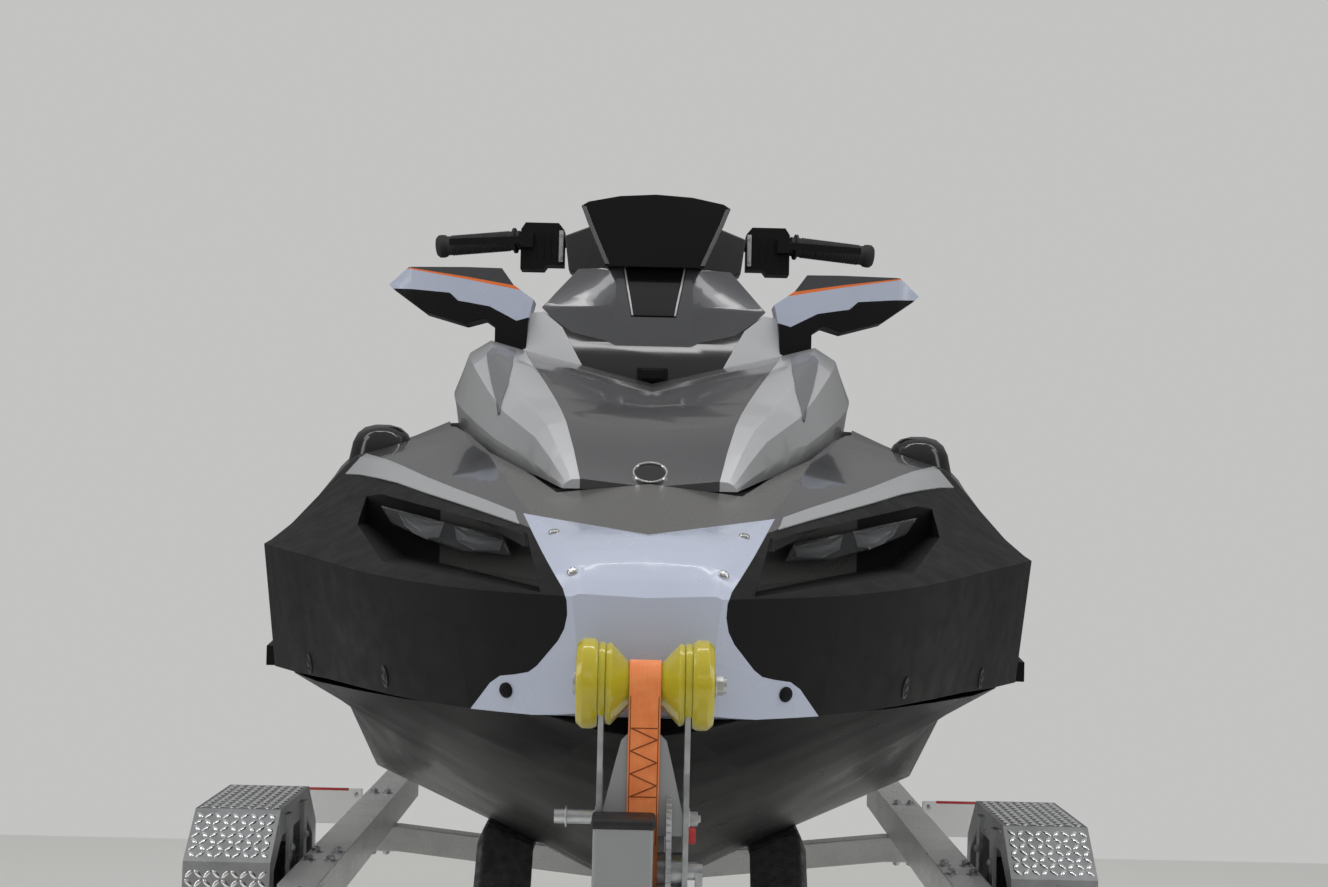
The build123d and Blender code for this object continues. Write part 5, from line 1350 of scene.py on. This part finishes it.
# Handlebar: a painted steel bar in a raked clamp, with ribbed rubber grips that end in
# bulbs. Moulded switch housings with levers and a soft pad over its middle turn with it.
bar_paint = new_finish("bar_paint", (0.020, 0.020, 0.021), 0.34, Metallic=0.3)
grained(bar_paint, 500, 3.0, 0.0001, 0.5)
clouded(bar_paint, 40, 4.0, 0.28, 0.42)
dress("handlebar", bar_paint, 0.0015, 2)
pad_skin = new_finish("pad_skin", (0.020, 0.020, 0.0205), 0.62, Sheen_Weight=0.15)
emboss(pad_skin, texture(pad_skin, "Voronoi", 520), 0.0005, 0.5)
clouded(pad_skin, 30, 6.0, 0.52, 0.74)
dress("bar_pad", pad_skin, 0.006, 4)
grip_rubber = new_finish("grip_rubber", (0.015, 0.015, 0.0155), 0.70)
grained(grip_rubber, 600, 3.0, 0.0003, 0.5)
clouded(grip_rubber, 40, 5.0, 0.60, 0.80)
dress("grips", grip_rubber, 0.003, 3)
GRIP_FROM, GRIP_TO = (240, 1462.5, 1173.8), (383, 1486, 1162)
GRIP_RIBS, FIRST_RIB, RIB_PITCH = 22, 0.020, 0.0048
for side, word in ((1, "left"), (-1, "right")):
    start = place(side * GRIP_FROM[0], *GRIP_FROM[1:])
    end = place(side * GRIP_TO[0], *GRIP_TO[1:])
    run = end - start
    outward = run.normalized()
    rings = []
    for number in range(GRIP_RIBS):
        profile = [(0.0168, -0.0018), (0.0181, -0.0010), (0.0181, 0.0010), (0.0168, 0.0018)]
        where = start + outward * (FIRST_RIB + number * RIB_PITCH)
        rings.append(turned(profile, where, outward, 28))
    flange = turned([(0.0165, -0.003), (0.0225, -0.002), (0.0225, 0.002), (0.0165, 0.003)],
                    start + outward * 0.008, outward, 32)
    bulb = turned([(0.0160, -0.016), (0.0195, -0.012), (0.0205, -0.006), (0.0200, 0.0),
                   (0.0165, 0.004), (0.006, 0.0055), (0.0001, 0.0055)], end, outward, 32)
    ribs = joined(*rings, flange, bulb)
    soften(ribs, 0, crease=50)
    settle(ribs, "grip_ribs_" + word, grip_rubber, "handlebar")
controls = dress("hand_controls", moulded, 0.003, 3)
start_green = new_finish("start_button", (0.03, 0.22, 0.07), 0.35)
clouded(start_green, 90, 3.0, 0.28, 0.45)
stop_red = new_finish("stop_button", (0.45, 0.02, 0.015), 0.35)
clouded(stop_red, 90, 3.0, 0.28, 0.45)
BUTTONS = [("start_button", 205, 1182, 0.008, start_green),
           ("stop_button", 205, 1155, 0.009, stop_red),
           ("mode_button", -200, 1180, 0.007, end_plug),
           ("trim_button", -222, 1180, 0.007, end_plug),
           ("cruise_button", -205, 1155, 0.008, end_plug)]
for name, x, h, radius, finish in BUTTONS:
    where, outward = touch(controls, place(x, 1700, h), (0, -1, 0))
    button = turned([(radius * 1.25, -0.001), (radius * 1.25, 0.0012), (radius, 0.0016),
                     (radius, 0.0042), (radius * 0.8, 0.0052), (0.0001, 0.0052)],
                    where, outward, 28)
    soften(button, 0, crease=40)
    settle(button, name, finish, "handlebar")
CLAMP_BAND_X, CLAMP_BAND_S = 165, 1424.6
ribs = []
for side in (-1, 1):
    for number in range(5):
        x = side * (172 + number * 12)
        rib = slab(place(x - 2, 1426.8, 1140 + number * 0.5), place(x + 2, 1430, 1186))
        soften(rib, 0.0008, 1)
        ribs.append(rib)
settle(joined(*ribs), "switch_housing_ribs", moulded, "handlebar")
clamps = []
for side in (-1, 1):
    clamp = slab(place(side * CLAMP_BAND_X - 4, CLAMP_BAND_S, 1133),
                 place(side * CLAMP_BAND_X + 4, 1430, 1189))
    soften(clamp, 0.0016, 2)
    clamps.append(clamp)
    for h in (1141, 1181):
        head = turned([(0.0031, -0.001), (0.0031, 0.0012), (0.0024, 0.0019), (0.0014, 0.0019),
                       (0.0014, 0.0008), (0.0001, 0.0008)],
                      place(side * CLAMP_BAND_X, CLAMP_BAND_S, h), (0, -1, 0), 20)
        soften(head, 0, crease=40)
        clamps.append(head)
settle(joined(*clamps), "switch_clamp_strips", collar_and_highlight_paint, "handlebar")


# Deck: a gloss graphite upper moulding with the seat pedestal and lined footwells. Grooved
# foam mats are glued in the wells and on the rear platform.
dress("deck", graphite, 0.004, 3, crease=32)
dress("footwells", graphite, 0.003, 2, crease=32)
mat_foam = new_finish("deck_mat", (0.034, 0.035, 0.037), 0.88)
grained(mat_foam, 900, 4.0, 0.0004, 0.6)
clouded(mat_foam, 20, 6.0, 0.78, 0.95)
tint(mat_foam, texture(mat_foam, "Noise", 6, Detail=7.0),
     [(0.3, (0.028, 0.029, 0.031)), (0.7, (0.043, 0.044, 0.046))])
dress("foot_mats", mat_foam, 0.002, 2)
dress("rear_mat", mat_foam, 0.002, 2)
REAR_MAT_S, REAR_MAT_TOP, REAR_ROWS, ROW_STEP, REAR_PAD = 3056, 503.4, 33, 15, 44
REAR_MAT_HALF, REAR_TAPER_S, REAR_TAPER = 438, 3300, 0.42
REAR_TAIL_HALF, REAR_TAIL_S = 366, 3460
WELL_MAT_S, WELL_MAT_TOP, WELL_ROWS, WELL_STEP = 1372, 350.4, 104, 15.5
WELL_PAD_X = (282, 318, 354, 390, 426, 462)
UP = (0, 0, 1)


def foam_pad(half):
    """A raised pad of a mat, long on Y, standing on the origin."""
    pad = slab(Vector((-0.0048, -half, 0)), Vector((0.0048, half, 0.0028)))
    soften(pad, 0.0012, 1)
    return pad


pads = []
for row in range(REAR_ROWS):
    s = REAR_MAT_S + row * ROW_STEP
    half = REAR_MAT_HALF - max(s - REAR_TAPER_S, 0) * REAR_TAPER
    half = min(half, REAR_TAIL_HALF) if s > REAR_TAIL_S else half
    columns = int((half * 2) // REAR_PAD)
    for column in range(columns):
        x = -half + REAR_PAD / 2 + column * (half * 2 - REAR_PAD) / (columns - 1)
        pads.append((place(x, s, REAR_MAT_TOP), UP, 90))
settle(set_out(foam_pad(0.0175), pads), "rear_mat_ribs", mat_foam)
well_pads = []
mat_piece = bpy.data.objects["foot_mats_piece"]
bpy.context.view_layer.update()
for side in (-1, 1):
    for row in range(WELL_ROWS):
        s = WELL_MAT_S + row * WELL_STEP
        for x in WELL_PAD_X:
            point = place(side * x, s, 700)
            near = [mat_piece.ray_cast(point + Vector((dx, dy, 0)), (0, 0, -1))
                    for dx in (-0.018, 0.018) for dy in (-0.006, 0.006)]
            if all(met and abs(place(0, 0, 351).z - where.z) < 0.001
                   for met, where, _, _ in near):
                well_pads.append((place(side * x, s, WELL_MAT_TOP), UP, 90))
settle(set_out(foam_pad(0.0145), well_pads), "foot_mat_ribs", mat_foam)


# Seats: foam pads covered in grained vinyl, drawn tight and stapled under a base board. The
# cover is sewn along channels across its top, with piping along both edges.
vinyl = new_finish("seat_vinyl", (0.026, 0.026, 0.028), 0.50, Sheen_Weight=0.1)
emboss(vinyl, texture(vinyl, "Voronoi", 420), 0.0005, 0.45)
grained(vinyl, 30, 5.0, 0.0012, 0.3)
clouded(vinyl, 14, 6.0, 0.42, 0.62)
tint(vinyl, texture(vinyl, "Noise", 5, Detail=7.0),
     [(0.3, (0.022, 0.022, 0.024)), (0.7, (0.032, 0.032, 0.034))])
thread = new_finish("seat_thread", (0.30, 0.30, 0.31), 0.7)
emboss(thread, texture(thread, "Wave", 900, bands_direction="DIAGONAL"), 0.0003, 0.6)
CHANNELS = {"seat_front": [1720, 1850, 1980, 2110], "seat_rear": [2390, 2520, 2650, 2780, 2900]}
CHANNEL_DEEP, CHANNEL_HALF = 4.5, 8.0
SEAT_FOOT = 0.016                         # what the base board holds still
TUCK_SIDE, TUCK_TOP = 0.014, 0.010        # how much smaller the foam is before it swells
SWELL = 0.016
ROOM_SIDE, ROOM_TOP = 0.004, 0.006        # how far the cover may pass the solid
MESH_SIZE = 0.0062
FOAM = {"quality": 4, "mass": 0.35, "tension_stiffness": 22, "compression_stiffness": 22,
        "shear_stiffness": 8, "bending_stiffness": 2.5, "use_pressure": True,
        "uniform_pressure_force": 4.0, "vertex_group_mass": "base_board"}
FOAM_FRAMES = 18
STITCHES, STITCH_PITCH = 45, 5.2
PIPE_R, PIPE_H, PIPE_STEP = 0.0026, 0.052, 0.012
for node in ("seat_front", "seat_rear"):
    low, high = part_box(node)
    seat = merged_copy(node)
    middle = (low + high) / 2
    for vert in seat.data.vertices:
        for axis in (0, 1):
            share = 1 - TUCK_SIDE / (high[axis] - low[axis])
            vert.co[axis] = middle[axis] + (vert.co[axis] - middle[axis]) * share
        vert.co.z = low.z + (vert.co.z - low.z) * (1 - TUCK_TOP / (high.z - low.z))
    pick(seat)
    seat.data.remesh_voxel_size = MESH_SIZE
    bpy.ops.object.voxel_remesh()
    held = seat.vertex_groups.new(name="base_board")
    held.add([vert.index for vert in seat.data.vertices
              if vert.co.z < low.z + SEAT_FOOT], 1.0, "REPLACE")
    foam = seat.modifiers.new("foam", "CLOTH")
    for label, level in FOAM.items():
        setattr(foam.settings, label, level)
    foam.settings.effector_weights.gravity = 0
    foam.collision_settings.use_collision = False
    foam.point_cache.frame_start = 1
    foam.point_cache.frame_end = FOAM_FRAMES
    rest = [vert.co.copy() for vert in seat.data.vertices]
    for moment in range(1, FOAM_FRAMES + 1):
        bpy.context.scene.frame_set(moment)
    pick(seat)
    bpy.ops.object.modifier_apply(modifier="foam")
    bpy.context.scene.frame_set(1)
    for vert, before in zip(seat.data.vertices, rest):
        shift = vert.co - before
        if shift.length > SWELL:
            vert.co = before + shift.normalized() * SWELL
        for axis in (0, 1):
            vert.co[axis] = min(max(vert.co[axis], low[axis] - ROOM_SIDE),
                                high[axis] + ROOM_SIDE)
        vert.co.z = min(vert.co.z, high.z + ROOM_TOP)
    finer = seat.modifiers.new("finer", "SUBSURF")
    finer.levels = finer.render_levels = 1
    bpy.ops.object.modifier_apply(modifier="finer")
    for vert in seat.data.vertices:
        over = (vert.co.z - low.z - 0.035) / 0.030
        over = min(max(over, 0), 1)
        for s in CHANNELS[node]:
            away = abs((vert.co.y - BOW_Y) * 1000 - s) / CHANNEL_HALF
            if away < 2.4:
                draw = CHANNEL_DEEP / 1000 * math.exp(-away * away * 1.4) * over
                lean = Vector((vert.co.x * 1.6, 0, max(vert.co.z - low.z - 0.05, 0.02)))
                vert.co -= lean.normalized() * draw
    pick(seat)
    bpy.ops.object.shade_smooth()
    settle(seat, node + "_cover", vinyl, BODY_OF[node])
    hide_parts(node)
    bpy.context.view_layer.update()
    stitches = []
    for s in CHANNELS[node]:
        for number in range(STITCHES):
            x = (number - STITCHES // 2) * STITCH_PITCH
            met, where, outward, _ = seat.ray_cast(place(x, s, 1300), (0, 0, -1))
            if met and outward.z > 0.45:
                stitches.append((where, outward, 90))
    stitch = slab(Vector((-0.0005, -0.0016, -0.0003)), Vector((0.0005, 0.0016, 0.0006)))
    soften(stitch, 0.0002, 1)
    seams = set_out(stitch, stitches)
    settle(seams, node + "_stitches", thread, BODY_OF[node])
    pipe_runs = []
    for side in (-1, 1):
        line = []
        y = low.y + 0.030
        while y < high.y - 0.025:
            met, where, outward, _ = seat.ray_cast(Vector((side * 0.5, y, low.z + PIPE_H)),
                                                   (-side, 0, 0))
            if met:
                line.append(where + outward * 0.0006)
            y += PIPE_STEP
        for start, end in zip(line, line[1:]):
            pipe_runs.append(cylinder(PIPE_R, start, end + (end - start) * 0.08, 8))
    piping = joined(*pipe_runs)
    soften(piping, 0, crease=60)
    settle(piping, node + "_piping", vinyl, BODY_OF[node])
dress("grab_handle", moulded, 0.005, 3)


# Engine: a cast block, standing in the bay under the seat. It's closed in, so only its plain
# outer form is made.
engine_grey = new_finish("engine_casting", (0.22, 0.225, 0.23), 0.5, Metallic=0.8)
grained(engine_grey, 260, 5.0, 0.0006, 0.6)
clouded(engine_grey, 20, 5.0, 0.42, 0.62)
dress("engine", engine_grey, 0.004, 3)


# Pump and nozzle: cast alloy with guide vanes in the bore, and the steering nozzle on its
# two pivots. The bucket is moulded black, and the intake grate is cast in bars.
cast_alloy = new_finish("cast_alloy", (0.36, 0.365, 0.37), 0.42, Metallic=1.0)
grained(cast_alloy, 340, 5.0, 0.0005, 0.6)
clouded(cast_alloy, 18, 6.0, 0.34, 0.56)
tint(cast_alloy, texture(cast_alloy, "Noise", 8, Detail=7.0),
     [(0.3, (0.26, 0.265, 0.27)), (0.7, (0.42, 0.425, 0.43))])
dress("jet_pump", cast_alloy, 0.002, 2)
dress("steering_nozzle", cast_alloy, 0.002, 2)
dress("reverse_bucket", moulded, 0.002, 2)
dress("intake_grate", cast_alloy, 0.002, 2)
PUMP_H, VANE_S = 190, 3322
PUMP_BOLT_RING = 66
PUMP_BOLT_ANGLES = (0.35, 1.1, 2.04, 2.79, 3.49, 4.24, 5.18, 5.93)
vanes = []
for number in range(6):
    vane = slab(Vector((-0.0011, -0.014, 0.011)), Vector((0.0011, 0.014, 0.0395)))
    vane.data.transform(Matrix.Rotation(math.radians(14), 4, "Z"))
    vane.data.transform(Matrix.Translation(place(0, VANE_S, PUMP_H))
                        @ Matrix.Rotation(math.radians(60 * number + 30), 4, "Y"))
    soften(vane, 0.0006, 1)
    vanes.append(vane)
hub_cone = turned([(0.012, -0.014), (0.012, 0.012), (0.008, 0.026), (0.0001, 0.036)],
                  place(0, VANE_S, PUMP_H), (0, 1, 0), 32)
soften(hub_cone, 0, crease=50)
settle(joined(*vanes, hub_cone), "pump_guide_vanes", cast_alloy)
pump_piece = bpy.data.objects["jet_pump_piece"]
pump_mounts = [touch(pump_piece, place(PUMP_BOLT_RING * math.cos(angle), 3500,
                                       PUMP_H + PUMP_BOLT_RING * math.sin(angle)), (0, -1, 0))
               for angle in PUMP_BOLT_ANGLES]
pump_bolts = set_out(hex_bolt(0.009, 0.005, 0.013), pump_mounts)
settle(pump_bolts, "pump_bolts", stainless)


# Boarding step and stern fittings: bent stainless tube that folds on its pins, with a
# black ribbed tread, and the stern eye and hinge brackets bolted through the transom.
dress("boarding_step", stainless, 0, crease=50)
dress("transom_fittings", stainless, 0.0015, 2)
STEP_RIBS, STEP_PITCH = 19, 16
treads = []
for number in range(STEP_RIBS):
    x = (number - STEP_RIBS // 2) * STEP_PITCH
    rib = slab(place(x - 5, 3341.4, 380), place(x + 5, 3344, 404))
    soften(rib, 0.0008, 1)
    treads.append(rib)
settle(joined(*treads), "step_tread_ribs", grip_rubber, "boarding_step")
EYE_FACE, EYE_SCREW_X, EYE_SCREW_H = 3336, (-15, 15), (418, 454)
fitting_mounts = [(place(x, EYE_FACE, h), (0, 1, 0)) for h in EYE_SCREW_H for x in EYE_SCREW_X]
fitting_bolts = set_out(button_screw(0.005, 0.0024), fitting_mounts)
settle(fitting_bolts, "stern_eye_screws", stainless)
